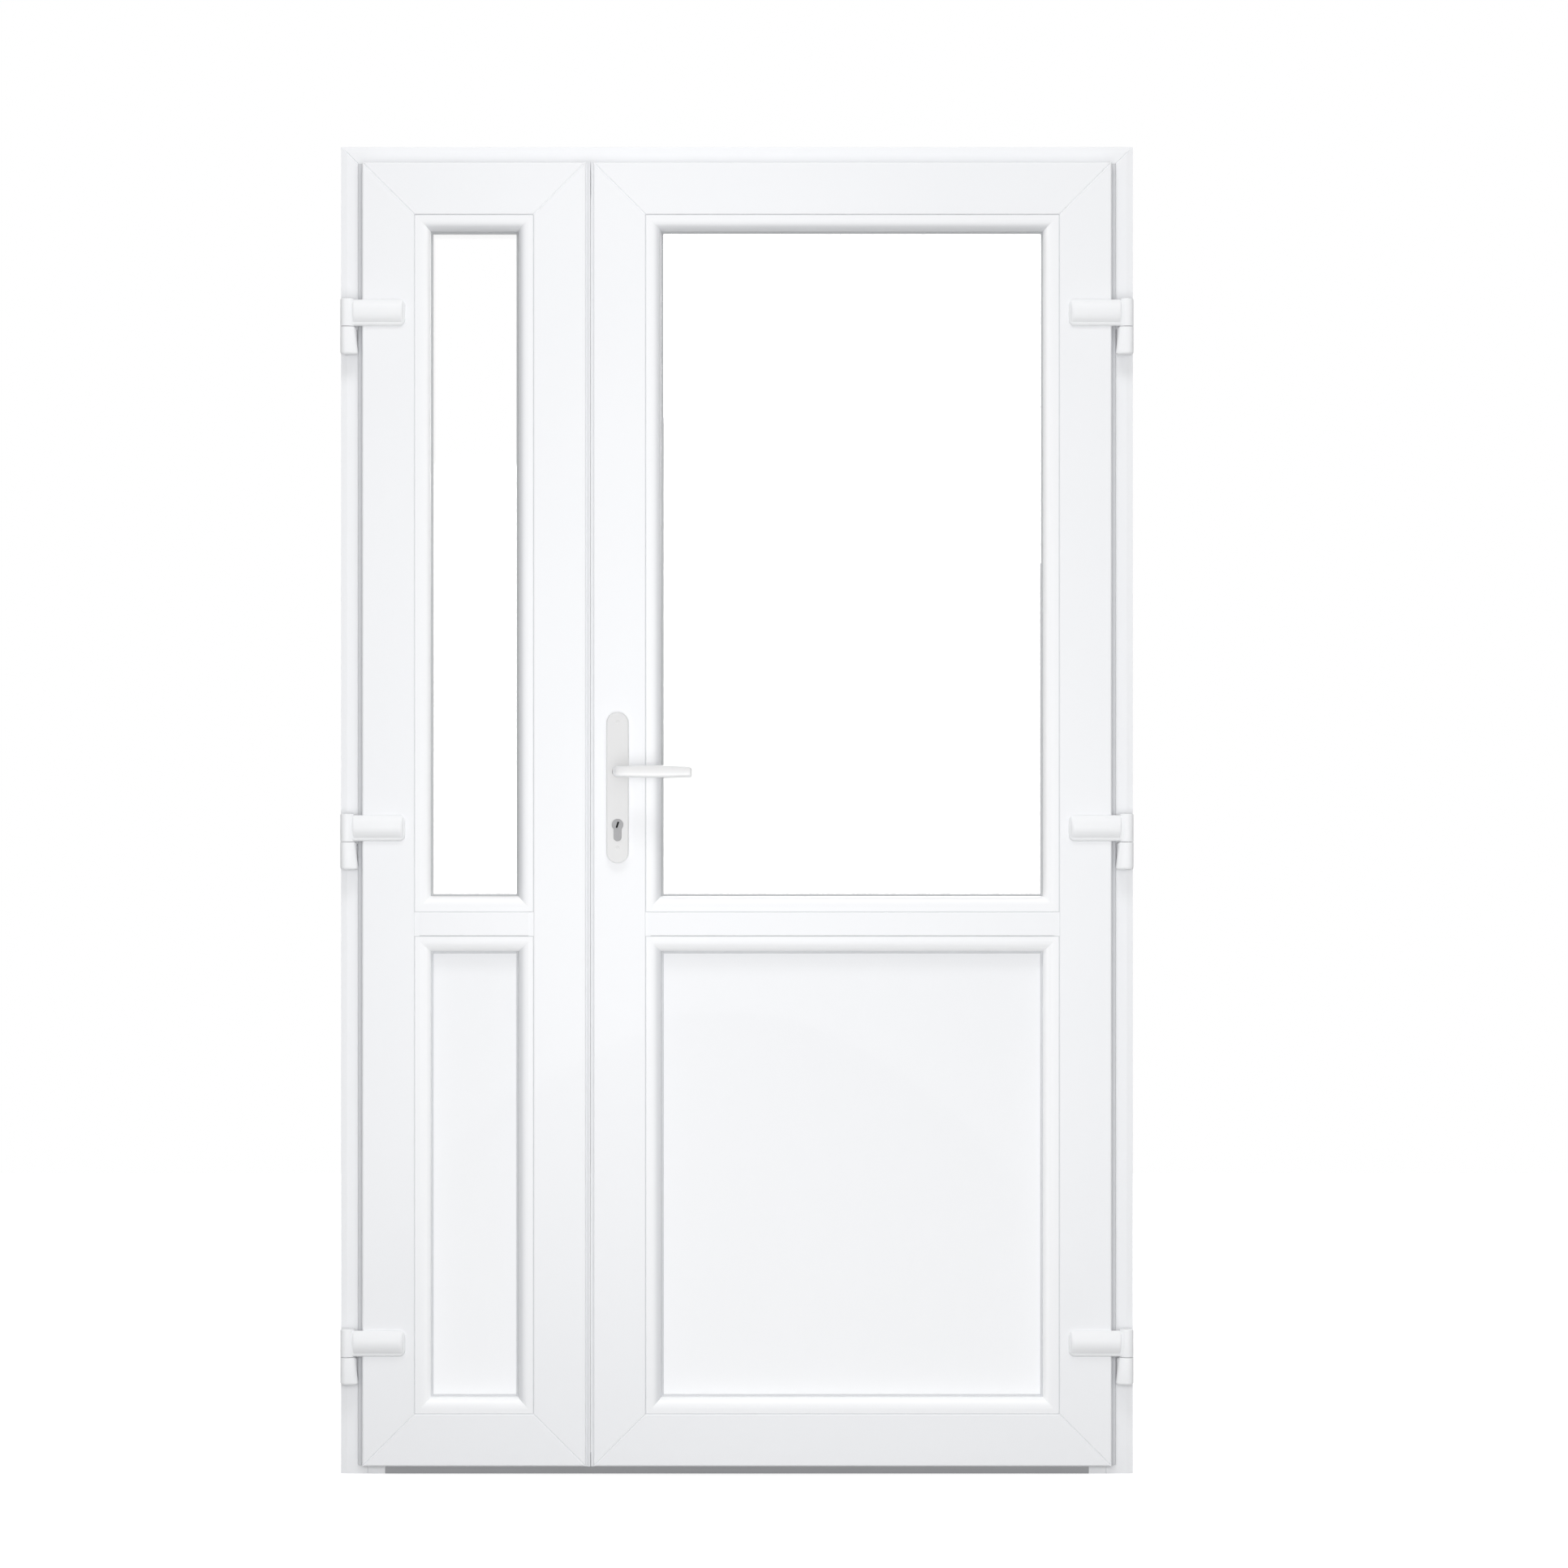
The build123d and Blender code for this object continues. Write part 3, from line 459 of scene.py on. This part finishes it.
# Panels and beads. The lower panels are foam boards between smooth white sheets, and the glazing beads are
# slim white PVC bars with a quarter-round front, mitred and snapped into the leaf round glass and panel.
# Painted light and shade: the panel is paler low down and darker higher up to even out the light on it.
PANEL_PAINTED_LIGHT_LOW = (0.945, 0.952, 0.966, 1.0)
PANEL_PAINTED_SHADE_HIGH = (0.820, 0.828, 0.846, 1.0)
PANEL_ROUGHNESS = 0.30
GRAIN_IN_ROUGHNESS = 0.06


def panel_finish(name):
    """White coated sheet with painted light and shade: paler low down, darker higher up, and a fine even
    grain.
    """
    finish, surface, place = start_finish(name)
    grain = place.noise(PVC_PEEL)
    place.axis("Z").blend(PANEL_PAINTED_LIGHT_LOW, PANEL_PAINTED_SHADE_HIGH).feed(surface, "Base Color")
    (PANEL_ROUGHNESS + grain * GRAIN_IN_ROUGHNESS).feed(surface, "Roughness")
    raise_surface(surface, grain, PVC_DEPTH)
    surface.inputs["IOR"].default_value = PVC_IOR
    return finish


# Painted shade and light on the bead slopes: darker by the meeting stiles and at the top, paler out by the
# hinges and low down.
SLOPE_PAINTED_SHADE = (0.725, 0.735, 0.755, 1.0)
SLOPE_PAINTED_LIGHT = (0.965, 0.970, 0.980, 1.0)
SLOPE_GAIN = 300.0
BEAD_ROUGHNESS = 0.20
BEAD_LINES_IN_ROUGHNESS = 0.10
bead_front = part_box("main_beads_level")[0].y


def bead_finish(name, run, painted_light_share):
    """White PVC bead whose slope down to the glass carries painted shade or painted light by its place on
    the door.
    """
    finish, surface, place = start_finish(name)
    drawn = place.lines(run)
    slope = (place.axis("Y") - bead_front) * SLOPE_GAIN
    slope_painted_light = painted_light_share(place).blend(SLOPE_PAINTED_SHADE, SLOPE_PAINTED_LIGHT)
    slope.blend(PVC_LIGHT, slope_painted_light).feed(surface, "Base Color")
    (BEAD_ROUGHNESS + drawn * BEAD_LINES_IN_ROUGHNESS).feed(surface, "Roughness")
    raise_surface(surface, drawn, PVC_DEPTH)
    surface.inputs["IOR"].default_value = PVC_IOR
    return finish


OUTER_GAIN = 14.0
OUTER_START = 2.0
LOW_START = 3.0
LOW_GAIN = 2.0


def outer_painted_light(place):
    """Painted light: grow paler from the meeting stiles out to the hinges."""
    return place.axis("X") * place.axis("X") * OUTER_GAIN - OUTER_START


def low_painted_light(place):
    """Painted light: grow paler from the top of the door down."""
    return LOW_START - place.axis("Z") * LOW_GAIN


panel_white = panel_finish("panel_white")
bead_upright = bead_finish("bead_upright", ALONG_Z, outer_painted_light)
bead_level = bead_finish("bead_level", ALONG_X, low_painted_light)
for leaf in LEAVES:
    dress(panel_white, leaf + "_panel")
    dress(bead_upright, leaf + "_beads_upright")
    dress(bead_level, leaf + "_beads_level")


# Bead joint shade and seal lips. A fine strip of pale grey rubber lies in the joint where each bead snaps
# into
# the leaf: painted shade for the joint's shadow line. The glazing seal's soft rubber lip shows between the
# bead and the glass or panel. Both are thin strips that run round the opening and are butted at its corners.
def ring_of_strips(low, high, width, front, back, rounding, finish):
    """Model four strips with rounded fronts just inside a rectangle, level ones between upright ones."""
    left, bottom = low
    right, top = high
    uprights = [(left, left + width, bottom, top), (right - width, right, bottom, top)]
    levels = [(left + width, right - width, bottom, bottom + width),
              (left + width, right - width, top - width, top)]
    strips = []
    for start_x, end_x, start_z, end_z in uprights + levels:
        start_block((start_x, front, start_z), (end_x, back, end_z))
        run = "z" if end_z - start_z > end_x - start_x else "x"
        half_way = getattr(Vector((start_x + end_x, 0.0, start_z + end_z)) / 2, run)
        round_edges(lambda middle: middle.y < front + NEAR and abs(getattr(middle, run) - half_way) < NEAR,
                    rounding, segments=3)
        strips.append(settle("strip", finish))
    return strips


JOINT_WIDTH = 0.0010
JOINT_FRONT = 0.0003
JOINT_BACK = 0.0013
JOINT_ROUND = 0.0002
LIP_INSET = 0.0235
LIP_WIDTH = 0.0034
LIP_FRONT = 0.0033
LIP_BACK = 0.0001
LIP_ROUND = 0.0009
TRANSOM_HALF = 0.0180
infill_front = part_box("main_glass")[0].y
for leaf in LEAVES:
    beads_low, beads_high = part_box(leaf + "_beads_level")
    transom_low, transom_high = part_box(leaf + "_transom")
    transom_middle = (transom_low.z + transom_high.z) / 2
    joint_shade_strips = []
    lips = []
    for bottom, top, lip_finish in ((beads_low.z, transom_middle - TRANSOM_HALF, pale_seal_and_shade),
                                    (transom_middle + TRANSOM_HALF, beads_high.z, seal_grey)):
        # Pale grey strips in the bead joints: painted shade for the joint's shadow line.
        joint_shade_strips += ring_of_strips((beads_low.x, bottom), (beads_high.x, top), JOINT_WIDTH,
                                 bead_front + JOINT_FRONT, bead_front + JOINT_BACK, JOINT_ROUND, pale_seal_and_shade)
        lips += ring_of_strips((beads_low.x + LIP_INSET, bottom + LIP_INSET),
                               (beads_high.x - LIP_INSET, top - LIP_INSET), LIP_WIDTH,
                               infill_front - LIP_FRONT, infill_front - LIP_BACK, LIP_ROUND, lip_finish)
    carry(join(joint_shade_strips, leaf + "_bead_joint_shade"), leaf + "_leaf", "seal_rubber")
    carry(join(lips, leaf + "_seal_lips"), leaf + "_leaf", "seal_rubber")


# Hinges. Each leaf hangs on three hinges in white moulded covers: the frame's half has the lower knuckle
# on a flared foot, and the leaf's half has the upper knuckle and a long arm under a crowned cover.
HINGE_SHADOW = (0.860, 0.870, 0.885, 1.0)
HINGE_LIGHT = (0.890, 0.897, 0.910, 1.0)
hinge_white = pvc_finish("hinge_white", HINGE_SHADOW, HINGE_LIGHT, EVEN, roughness=0.24)

KNUCKLE_RADIUS = 0.0093
KNUCKLE_HEIGHT = 0.0420
KNUCKLE_GAP = 0.0004
KNUCKLE_SIDES = 48
RIM_ROUND = 0.0004
frame_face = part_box("frame_jamb_left")[0].y
leaf_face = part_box("narrow_hinge_stile")[0].y
bases_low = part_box("hinge_bases_left")[0]
arms_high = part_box("narrow_hinge_arms")[1]
axis_x = bases_low.x + KNUCKLE_RADIUS
axis_y = bases_low.y + KNUCKLE_RADIUS
lowest_split = bases_low.z + KNUCKLE_HEIGHT + KNUCKLE_GAP
highest_split = arms_high.z - KNUCKLE_HEIGHT - KNUCKLE_GAP
hinge_pitch = (highest_split - lowest_split) / 2
hinge_moves = [(0.0, 0.0, 0.0), (0.0, 0.0, hinge_pitch), (0.0, 0.0, 2 * hinge_pitch)]


def widen_right(low, high, factor):
    """Scale the vertices right of the hinge axis, between two heights, away from the axis."""
    choose("verts", lambda middle: middle.x > axis_x + NEAR and low < middle.z < high)
    bpy.ops.transform.resize(value=(factor, 1.0, 1.0), center_override=(axis_x, axis_y, 0.0))


def knuckle(name, bottom, widening_low, widening_high, round_low, round_high):
    """Model a knuckle that is round on the outside and drawn out towards the leaf."""
    top = bottom + KNUCKLE_HEIGHT
    middle_height = (bottom + top) / 2
    bpy.ops.mesh.primitive_cylinder_add(vertices=KNUCKLE_SIDES, radius=KNUCKLE_RADIUS, depth=KNUCKLE_HEIGHT,
                                        location=(axis_x, axis_y, middle_height))
    fix_place()
    bpy.ops.object.mode_set(mode="EDIT")
    widen_right(bottom - NEAR, middle_height, widening_low)
    widen_right(middle_height, top + NEAR, widening_high)
    round_edges(lambda middle: middle.z < bottom + NEAR, round_low, segments=6)
    round_edges(lambda middle: middle.z > top - NEAR, round_high, segments=4)
    return settle(name, hinge_white)


LOWER_WIDENING_TOP = 1.42
LOWER_WIDENING_FOOT = 1.95
LOWER_ROUND = 0.0045
FOOT_REACH = 0.0150
FOOT_OUTER_SHARE = 0.8
FOOT_DROP = 0.0020
FOOT_ROUND = 0.0020
lower_knuckle = knuckle("lower_knuckle", bases_low.z, LOWER_WIDENING_FOOT, LOWER_WIDENING_TOP,
                        LOWER_ROUND, RIM_ROUND)
start_block((axis_x - KNUCKLE_RADIUS * FOOT_OUTER_SHARE, axis_y, bases_low.z + LOWER_ROUND),
            (axis_x + FOOT_REACH, frame_face, lowest_split - FOOT_DROP))
round_edges(lambda middle: middle.x > axis_x + FOOT_REACH - NEAR, FOOT_ROUND, segments=3)
lower_foot = settle("lower_foot", hinge_white)
left_feet = scatter(join([lower_knuckle, lower_foot], "lower_half"), hinge_moves, "hinge_feet_left")
right_feet = mirrored(left_feet, "hinge_feet_right", LEFT_TO_RIGHT)
carry(left_feet, "frame", "hinge_white", "hinge_bases_left")
carry(right_feet, "frame", "hinge_white", "hinge_bases_right")

UPPER_WIDENING = 1.30
UPPER_ROUND = 0.0020
ARM_LENGTH = 0.0890
ARM_THICKNESS = 0.0050
ARM_LOW = 0.0008
ARM_HIGH = 0.0400
ARM_INNER_SHARE = 0.5
ARM_FRONT_ROUND = 0.0046
ARM_CORNER_ROUND = 0.0090
upper_knuckle = knuckle("upper_knuckle", lowest_split + KNUCKLE_GAP, UPPER_WIDENING, UPPER_WIDENING,
                        RIM_ROUND, UPPER_ROUND)
arm_face = leaf_face - ARM_THICKNESS
arm_middle = (arm_face + leaf_face) / 2
arm_end = axis_x + ARM_LENGTH
start_block((axis_x + KNUCKLE_RADIUS * ARM_INNER_SHARE, arm_face, lowest_split + ARM_LOW),
            (arm_end, leaf_face, lowest_split + ARM_HIGH))
round_edges(lambda middle: middle.x > arm_end - NEAR and abs(middle.y - arm_middle) < NEAR,
            ARM_CORNER_ROUND, segments=8)
round_edges(lambda middle: middle.y < arm_face + NEAR and middle.x > axis_x + KNUCKLE_RADIUS,
            ARM_FRONT_ROUND, segments=7)
arm_plate = settle("arm_plate", hinge_white)


def angle_steps(turn, steps):
    """Give the angles at which each step of a turn begins and ends."""
    for step in range(steps):
        yield math.radians(turn * step / steps), math.radians(turn * (step + 1) / steps)


COVER_START = 0.0115
COVER_END = 0.0800
COVER_LOW = 0.0060
COVER_CROWN = 0.0070
COVER_SIDES = 128
COVER_END_LENGTH = 0.0065
COVER_END_TURN = 84.0
COVER_END_STEPS = 7
COVER_END_NARROWING = 0.12
cover_half = (ARM_HIGH - COVER_LOW) / 2
cover_radius = (cover_half ** 2 + COVER_CROWN ** 2) / (2 * COVER_CROWN)
cover_height = lowest_split + (ARM_HIGH + COVER_LOW) / 2
cover_end = axis_x + COVER_END
bpy.ops.mesh.primitive_cylinder_add(vertices=COVER_SIDES, radius=cover_radius, depth=COVER_END - COVER_START,
                                    rotation=(0.0, math.pi / 2, 0.0),
                                    location=(axis_x + (COVER_START + COVER_END) / 2,
                                              arm_face - COVER_CROWN + cover_radius, cover_height))
fix_place()
bpy.ops.object.mode_set(mode="EDIT")
bpy.ops.mesh.select_all(action="SELECT")
bpy.ops.mesh.bisect(plane_co=(0.0, arm_face, 0.0), plane_no=(0.0, 1.0, 0.0), use_fill=True, clear_outer=True)
choose("faces", lambda middle: middle.x > cover_end - NEAR)
for begin, end in angle_steps(COVER_END_TURN, COVER_END_STEPS):
    shrink = math.cos(end) / math.cos(begin)
    narrowing = 1.0 - (1.0 - shrink) * COVER_END_NARROWING
    extrude((COVER_END_LENGTH * (math.sin(end) - math.sin(begin)), 0.0, 0.0))
    bpy.ops.transform.resize(value=(1.0, shrink, narrowing), center_override=(0.0, arm_face, cover_height))
arm_cover = settle("arm_cover", hinge_white)
upper_half = join([upper_knuckle, arm_plate, arm_cover], "upper_half")
left_arms = scatter(upper_half, hinge_moves, "hinge_covers_left")
right_arms = mirrored(left_arms, "hinge_covers_right", LEFT_TO_RIGHT)
carry(left_arms, "narrow_leaf", "hinge_white", "narrow_hinge_arms")
carry(right_arms, "main_leaf", "hinge_white", "main_hinge_arms")


# Lock. A nickelled cylinder goes right through the wide leaf below the lever, with a ward painted near black
# in the keyway at each end as painted shade. A long plated steel faceplate is screwed to the leaf's edge,
# and three strikes of the same steel are screwed to the false mullion opposite it.
NICKEL_DARK = (0.40, 0.40, 0.41, 1.0)
NICKEL_PALE = (0.47, 0.47, 0.48, 1.0)
PLATED_DARK = (0.56, 0.56, 0.57, 1.0)
PLATED_PALE = (0.66, 0.66, 0.67, 1.0)
PLATED_RUN = (300.0, 300.0, 4.0)
# The wards are painted near black: painted shade for the depth of the keyway.
WARD_PAINTED_SHADE_DARK = (0.012, 0.012, 0.013, 1.0)
WARD_PAINTED_SHADE_PALE = (0.03, 0.03, 0.03, 1.0)
nickel = metal_finish("lock_nickel", NICKEL_DARK, NICKEL_PALE, EVEN, roughness=0.32)
plated_steel = metal_finish("plated_steel", PLATED_DARK, PLATED_PALE, PLATED_RUN, roughness=0.30)
ward_painted_shade = metal_finish("ward_painted_shade", WARD_PAINTED_SHADE_DARK, WARD_PAINTED_SHADE_PALE, EVEN, roughness=0.5)
dress(nickel, "lock_cylinder")
dress(plated_steel, "lock_faceplate", "strike_plates")

WARD_SIZE = (0.0026, 0.0004, 0.0096)
WARD_DEPTH = 0.0010
WARD_TILT = math.radians(18.0)
WARD_ROUND = 0.0010
CYLINDER_AXIS = 0.983
cylinder_low, cylinder_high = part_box("lock_cylinder")
cylinder_x = (cylinder_low.x + cylinder_high.x) / 2
ward_middle = Vector((cylinder_x, CYLINDER_AXIS))
ward_reach = WARD_SIZE[2] / 2
wards = []
for face_y in (cylinder_low.y + WARD_DEPTH, cylinder_high.y - WARD_DEPTH):
    bpy.ops.mesh.primitive_cube_add(size=1.0, rotation=(0.0, WARD_TILT, 0.0),
                                    location=(cylinder_x, face_y, CYLINDER_AXIS), scale=WARD_SIZE)
    fix_place()
    bpy.ops.object.mode_set(mode="EDIT")
    round_edges(lambda middle: (middle.xz - ward_middle).length > ward_reach + NEAR, WARD_ROUND, segments=4)
    wards.append(settle("ward", ward_painted_shade))
carry(join(wards, "keyway_wards"), "main_leaf", "lock_steel")

FACEPLATE_SCREWS = 6
FACEPLATE_THICKNESS = 0.0030
FACEPLATE_SCREW_RADIUS = 0.0034
STRIKE_LENGTH = 0.180
STRIKE_SCREW_MARGIN = 0.015
SCREW_PROUD = 0.0002
LOCK_MIDDLE = 1.023
TURNED_LEFT = (0.0, -math.pi / 2, 0.0)
plate_low, plate_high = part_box("lock_faceplate")
strike_low, strike_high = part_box("strike_plates")
groove_middle = (plate_low.y + plate_high.y) / 2
faceplate_screw = cross_screw("faceplate_screw", screw_steel, FACEPLATE_SCREW_RADIUS, TURNED_LEFT)
strike_screw = mirrored(faceplate_screw, "strike_screw", LEFT_TO_RIGHT)
faceplate_places = []
for index in range(FACEPLATE_SCREWS):
    share = (index + 0.5) / FACEPLATE_SCREWS
    faceplate_places.append((plate_high.x - FACEPLATE_THICKNESS - SCREW_PROUD, groove_middle,
                             plate_low.z + share * (plate_high.z - plate_low.z)))
strike_half = STRIKE_LENGTH / 2
strike_places = []
for strike_middle in (strike_low.z + strike_half, LOCK_MIDDLE, strike_high.z - strike_half):
    for reach in (STRIKE_SCREW_MARGIN - strike_half, strike_half - STRIKE_SCREW_MARGIN):
        strike_places.append((strike_high.x + SCREW_PROUD, groove_middle, strike_middle + reach))
carry(scatter(faceplate_screw, faceplate_places, "faceplate_screws"), "main_leaf", "lock_steel")
carry(scatter(strike_screw, strike_places, "strike_screws"), "narrow_leaf", "lock_steel")


# Handle set. Two long plates with round ends are screwed to the leaf, and a lever on each side turns on one
# square steel spindle. Plates and levers are cast aluminium under a light satin grey coat.
COAT_FLECK = 700.0
COAT_DEPTH = 0.00003
COAT_METALLIC = 0.9
FLECK_IN_ROUGHNESS = 0.05


def coat_finish(name, shadow, light, run, roughness):
    """Satin grey coat on cast metal, with a faint grain along its run."""
    finish, surface, place = start_finish(name)
    grain = place.lines(run)
    fleck = place.noise(COAT_FLECK)
    grain.blend(shadow, light).feed(surface, "Base Color")
    (roughness + grain * GRAIN_IN_ROUGHNESS + fleck * FLECK_IN_ROUGHNESS).feed(surface, "Roughness")
    raise_surface(surface, fleck, COAT_DEPTH)
    surface.inputs["Metallic"].default_value = COAT_METALLIC
    return finish


PLATE_DARK = (0.755, 0.755, 0.757, 1.0)
PLATE_PALE = (0.785, 0.785, 0.787, 1.0)
PLATE_RUN = (90.0, 90.0, 6.0)
LEVER_DARK = (0.82, 0.82, 0.822, 1.0)
LEVER_PALE = (0.85, 0.85, 0.852, 1.0)
LEVER_RUN = (6.0, 90.0, 90.0)
satin_plate = coat_finish("satin_plate", PLATE_DARK, PLATE_PALE, PLATE_RUN, roughness=0.42)
satin_lever = coat_finish("satin_lever", LEVER_DARK, LEVER_PALE, LEVER_RUN, roughness=0.36)
dress(satin_plate, "handle_plate_inside", "handle_plate_outside")
dress(plated_steel, "lever_spindle")

ROOM_TO_STREET = (1.0, -1.0, 1.0)
LEVER_AXIS = (-0.180, 1.063)
LEVER_NECK = (0.0130, 0.0168)
LEVER_NECK_GAP = 0.0008
LEVER_ROUND = 0.0064
LEVER_BEND = 0.0140
LEVER_BEND_STEPS = 9
LEVER_STATIONS = 12
LEVER_SWELL = 0.00900
LEVER_TAPER = 0.00980
LEVER_TIP = 0.0030
LEVER_TIP_TURN = 80.0
LEVER_TIP_STEPS = 4
plate_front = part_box("handle_plate_inside")[0].y
plate_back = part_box("handle_plate_outside")[1].y
lever_low, lever_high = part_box("lever_inside")
grip_line = lever_low.y + LEVER_NECK[0] / 2
neck_start = plate_front - LEVER_NECK_GAP
bend_centre = (LEVER_AXIS[0] + LEVER_BEND, grip_line + LEVER_BEND, LEVER_AXIS[1])
bpy.ops.mesh.primitive_plane_add(size=1.0, location=(LEVER_AXIS[0], neck_start, LEVER_AXIS[1]),
                                 rotation=(math.pi / 2, 0.0, 0.0))
fix_place()
bpy.ops.object.mode_set(mode="EDIT")
bpy.ops.mesh.select_all(action="SELECT")
bpy.ops.transform.resize(value=(LEVER_NECK[0], 1.0, LEVER_NECK[1]))
bpy.ops.mesh.bevel(offset=LEVER_ROUND, segments=6, affect="VERTICES")
extrude((0.0, bend_centre[1] - neck_start, 0.0))
bend_step = -math.pi / 2 / LEVER_BEND_STEPS
for step in range(LEVER_BEND_STEPS):
    extrude((0.0, 0.0, 0.0))
    bpy.ops.transform.rotate(value=bend_step, orient_axis="Z", center_override=bend_centre)
grip_reach = lever_high.x - LEVER_TIP - bend_centre[0]
height = LEVER_NECK[1]
for step in range(LEVER_STATIONS):
    share = (step + 1) / LEVER_STATIONS
    next_height = LEVER_NECK[1] + LEVER_SWELL * share - LEVER_TAPER * share ** 2
    extrude((grip_reach / LEVER_STATIONS, 0.0, 0.0), (1.0, 1.0, next_height / height))
    height = next_height
for begin, end in angle_steps(LEVER_TIP_TURN, LEVER_TIP_STEPS):
    shrink = 1.0 - 2 * LEVER_TIP * (math.cos(begin) - math.cos(end)) / height
    extrude((LEVER_TIP * (math.sin(end) - math.sin(begin)), 0.0, 0.0), (1.0, shrink, shrink))
bpy.ops.mesh.select_all(action="SELECT")
bpy.ops.mesh.normals_make_consistent(inside=False)
inner_lever = settle("lever_room_side", satin_lever)
handle_middle = (0.0, (plate_front + plate_back) / 2, 0.0)
outer_lever = mirrored(inner_lever, "lever_street_side", ROOM_TO_STREET, handle_middle)
carry(inner_lever, "handle", "handle_metal", "lever_inside")
carry(outer_lever, "handle", "handle_metal", "lever_outside")

PLATE_SCREW_HEIGHTS = (1.1380, 0.9480)
PLATE_SCREW_RADIUS = 0.0036
PLATE_SCREW_PROUD = 0.0004
TURNED_TO_ROOM = (math.pi / 2, 0.0, 0.0)
plate_screw = cross_screw("plate_screw", satin_plate, PLATE_SCREW_RADIUS, TURNED_TO_ROOM)
plate_places = [(LEVER_AXIS[0], plate_front - PLATE_SCREW_PROUD, level) for level in PLATE_SCREW_HEIGHTS]
carry(scatter(plate_screw, plate_places, "handle_plate_screws"), "main_leaf", "handle_metal")


# Studio. A plain pale floor that keeps the door's shadow lies under the threshold, in an even white
# surround. A narrow soft lamp hangs before the meeting stiles, broad ones high up, in front and low in
# front, and one stands behind.
def seen_by_camera(shade):
    """Give 1 to rays from the camera, straight or by way of gloss or glass, and 0 to all others."""
    seen = shade.make("LightPath", output="Is Camera Ray")
    for ray in ("Is Glossy Ray", "Is Transmission Ray"):
        seen = seen.maths("MAXIMUM", seen, shade.make("LightPath", output=ray))
    return seen


FLOOR_SIZE = 9.0
FLOOR_GREY = (0.35, 0.35, 0.35, 1.0)
FLOOR_ROUGHNESS = 0.9
LIFT_NONE = (0.0, 0.0, 0.0, 1.0)
LIFT_NEAR = (0.78, 0.78, 0.78, 1.0)
LIFT_FAR = (1.0, 1.0, 1.0, 1.0)
LIFT_REACH = 2.2
bpy.ops.mesh.primitive_plane_add(size=FLOOR_SIZE)
floor = bpy.context.object
floor.name = "floor"
floor_paint, floor_surface, floor_place = start_finish("floor_white")
floor_surface.inputs["Base Color"].default_value = FLOOR_GREY
floor_surface.inputs["Roughness"].default_value = FLOOR_ROUGHNESS
floor_surface.inputs["Emission Strength"].default_value = 1.0
from_door = floor_place.make("VectorMath", {"operation": "LENGTH"}, {0: floor_place}, output="Value")
lift = (from_door * (1.0 / LIFT_REACH)).blend(LIFT_NEAR, LIFT_FAR)
seen_by_camera(floor_place).blend(LIFT_NONE, lift).feed(floor_surface, "Emission Color")
floor.data.materials.append(floor_paint)
bpy.ops.object.select_all(action="DESELECT")

SURROUND_LIGHT = 0.48
surround = bpy.data.worlds.new("white_surround")
surround.use_nodes = True
bpy.context.scene.world = surround
backing = surround.node_tree.nodes["Background"]
backing.inputs["Color"].default_value = (1.0, 1.0, 1.0, 1.0)
shown = seen_by_camera(Shade(backing.outputs["Background"]))
(SURROUND_LIGHT + shown * (1.0 - SURROUND_LIGHT)).feed(backing, "Strength")


def soft_lamp(name, place, aim, width, height, power):
    """Hang a soft lamp that looks at a point."""
    bpy.ops.object.light_add(type="AREA", location=place)
    lamp = bpy.context.object
    lamp.name = name
    lamp.data.shape = "RECTANGLE"
    lamp.data.size = width
    lamp.data.size_y = height
    lamp.data.energy = power
    lamp.visible_glossy = False
    lamp.rotation_euler = (Vector(aim) - Vector(place)).to_track_quat("-Z", "Y").to_euler()
    bpy.ops.object.select_all(action="DESELECT")


soft_lamp("lamp_meeting", (-0.15, -0.55, 1.35), (-0.15, 0.0, 1.35), 0.15, 1.70, 0.32)
soft_lamp("lamp_high", (0.00, -2.20, 4.60), (0.00, 0.0, 0.80), 2.00, 1.00, 40.0)
soft_lamp("lamp_front", (-0.05, -5.00, 1.20), (-0.05, 0.0, 1.00), 2.00, 1.60, 62.0)
soft_lamp("lamp_level", (0.05, -2.40, 0.50), (0.05, 0.0, 0.50), 1.60, 1.20, 15.5)
soft_lamp("lamp_back", (0.80, 3.00, 2.60), (0.0, 0.0, 1.0), 2.20, 2.20, 70.0)


# Camera. It stands in the room, square to the door and level with its middle, and looks through a long lens
# that is shifted so that the door fills the same part of the picture as in the photograph.
PHOTO_PIXELS = 1932.0
PIXELS_PER_METRE = 813.3
DOOR_MIDDLE_PIXEL = (908.0, 998.25)
CAMERA_DISTANCE = 5.5
SENSOR = 36.0
half_view = PHOTO_PIXELS / PIXELS_PER_METRE / 2
door_middle = (cad_box[0][2] + cad_box[1][2]) / 2
bpy.ops.object.camera_add(location=(0.0, frame_face - CAMERA_DISTANCE, door_middle),
                          rotation=(math.pi / 2, 0.0, 0.0))
camera = bpy.context.object
camera.data.sensor_width = SENSOR
camera.data.lens = SENSOR / 2 * CAMERA_DISTANCE / half_view
camera.data.shift_x = (PHOTO_PIXELS / 2 - DOOR_MIDDLE_PIXEL[0]) / PHOTO_PIXELS
camera.data.shift_y = (DOOR_MIDDLE_PIXEL[1] - PHOTO_PIXELS / 2) / PHOTO_PIXELS
bpy.context.scene.camera = camera
bpy.context.scene.view_settings.view_transform = "Standard"
bpy.ops.object.select_all(action="DESELECT")
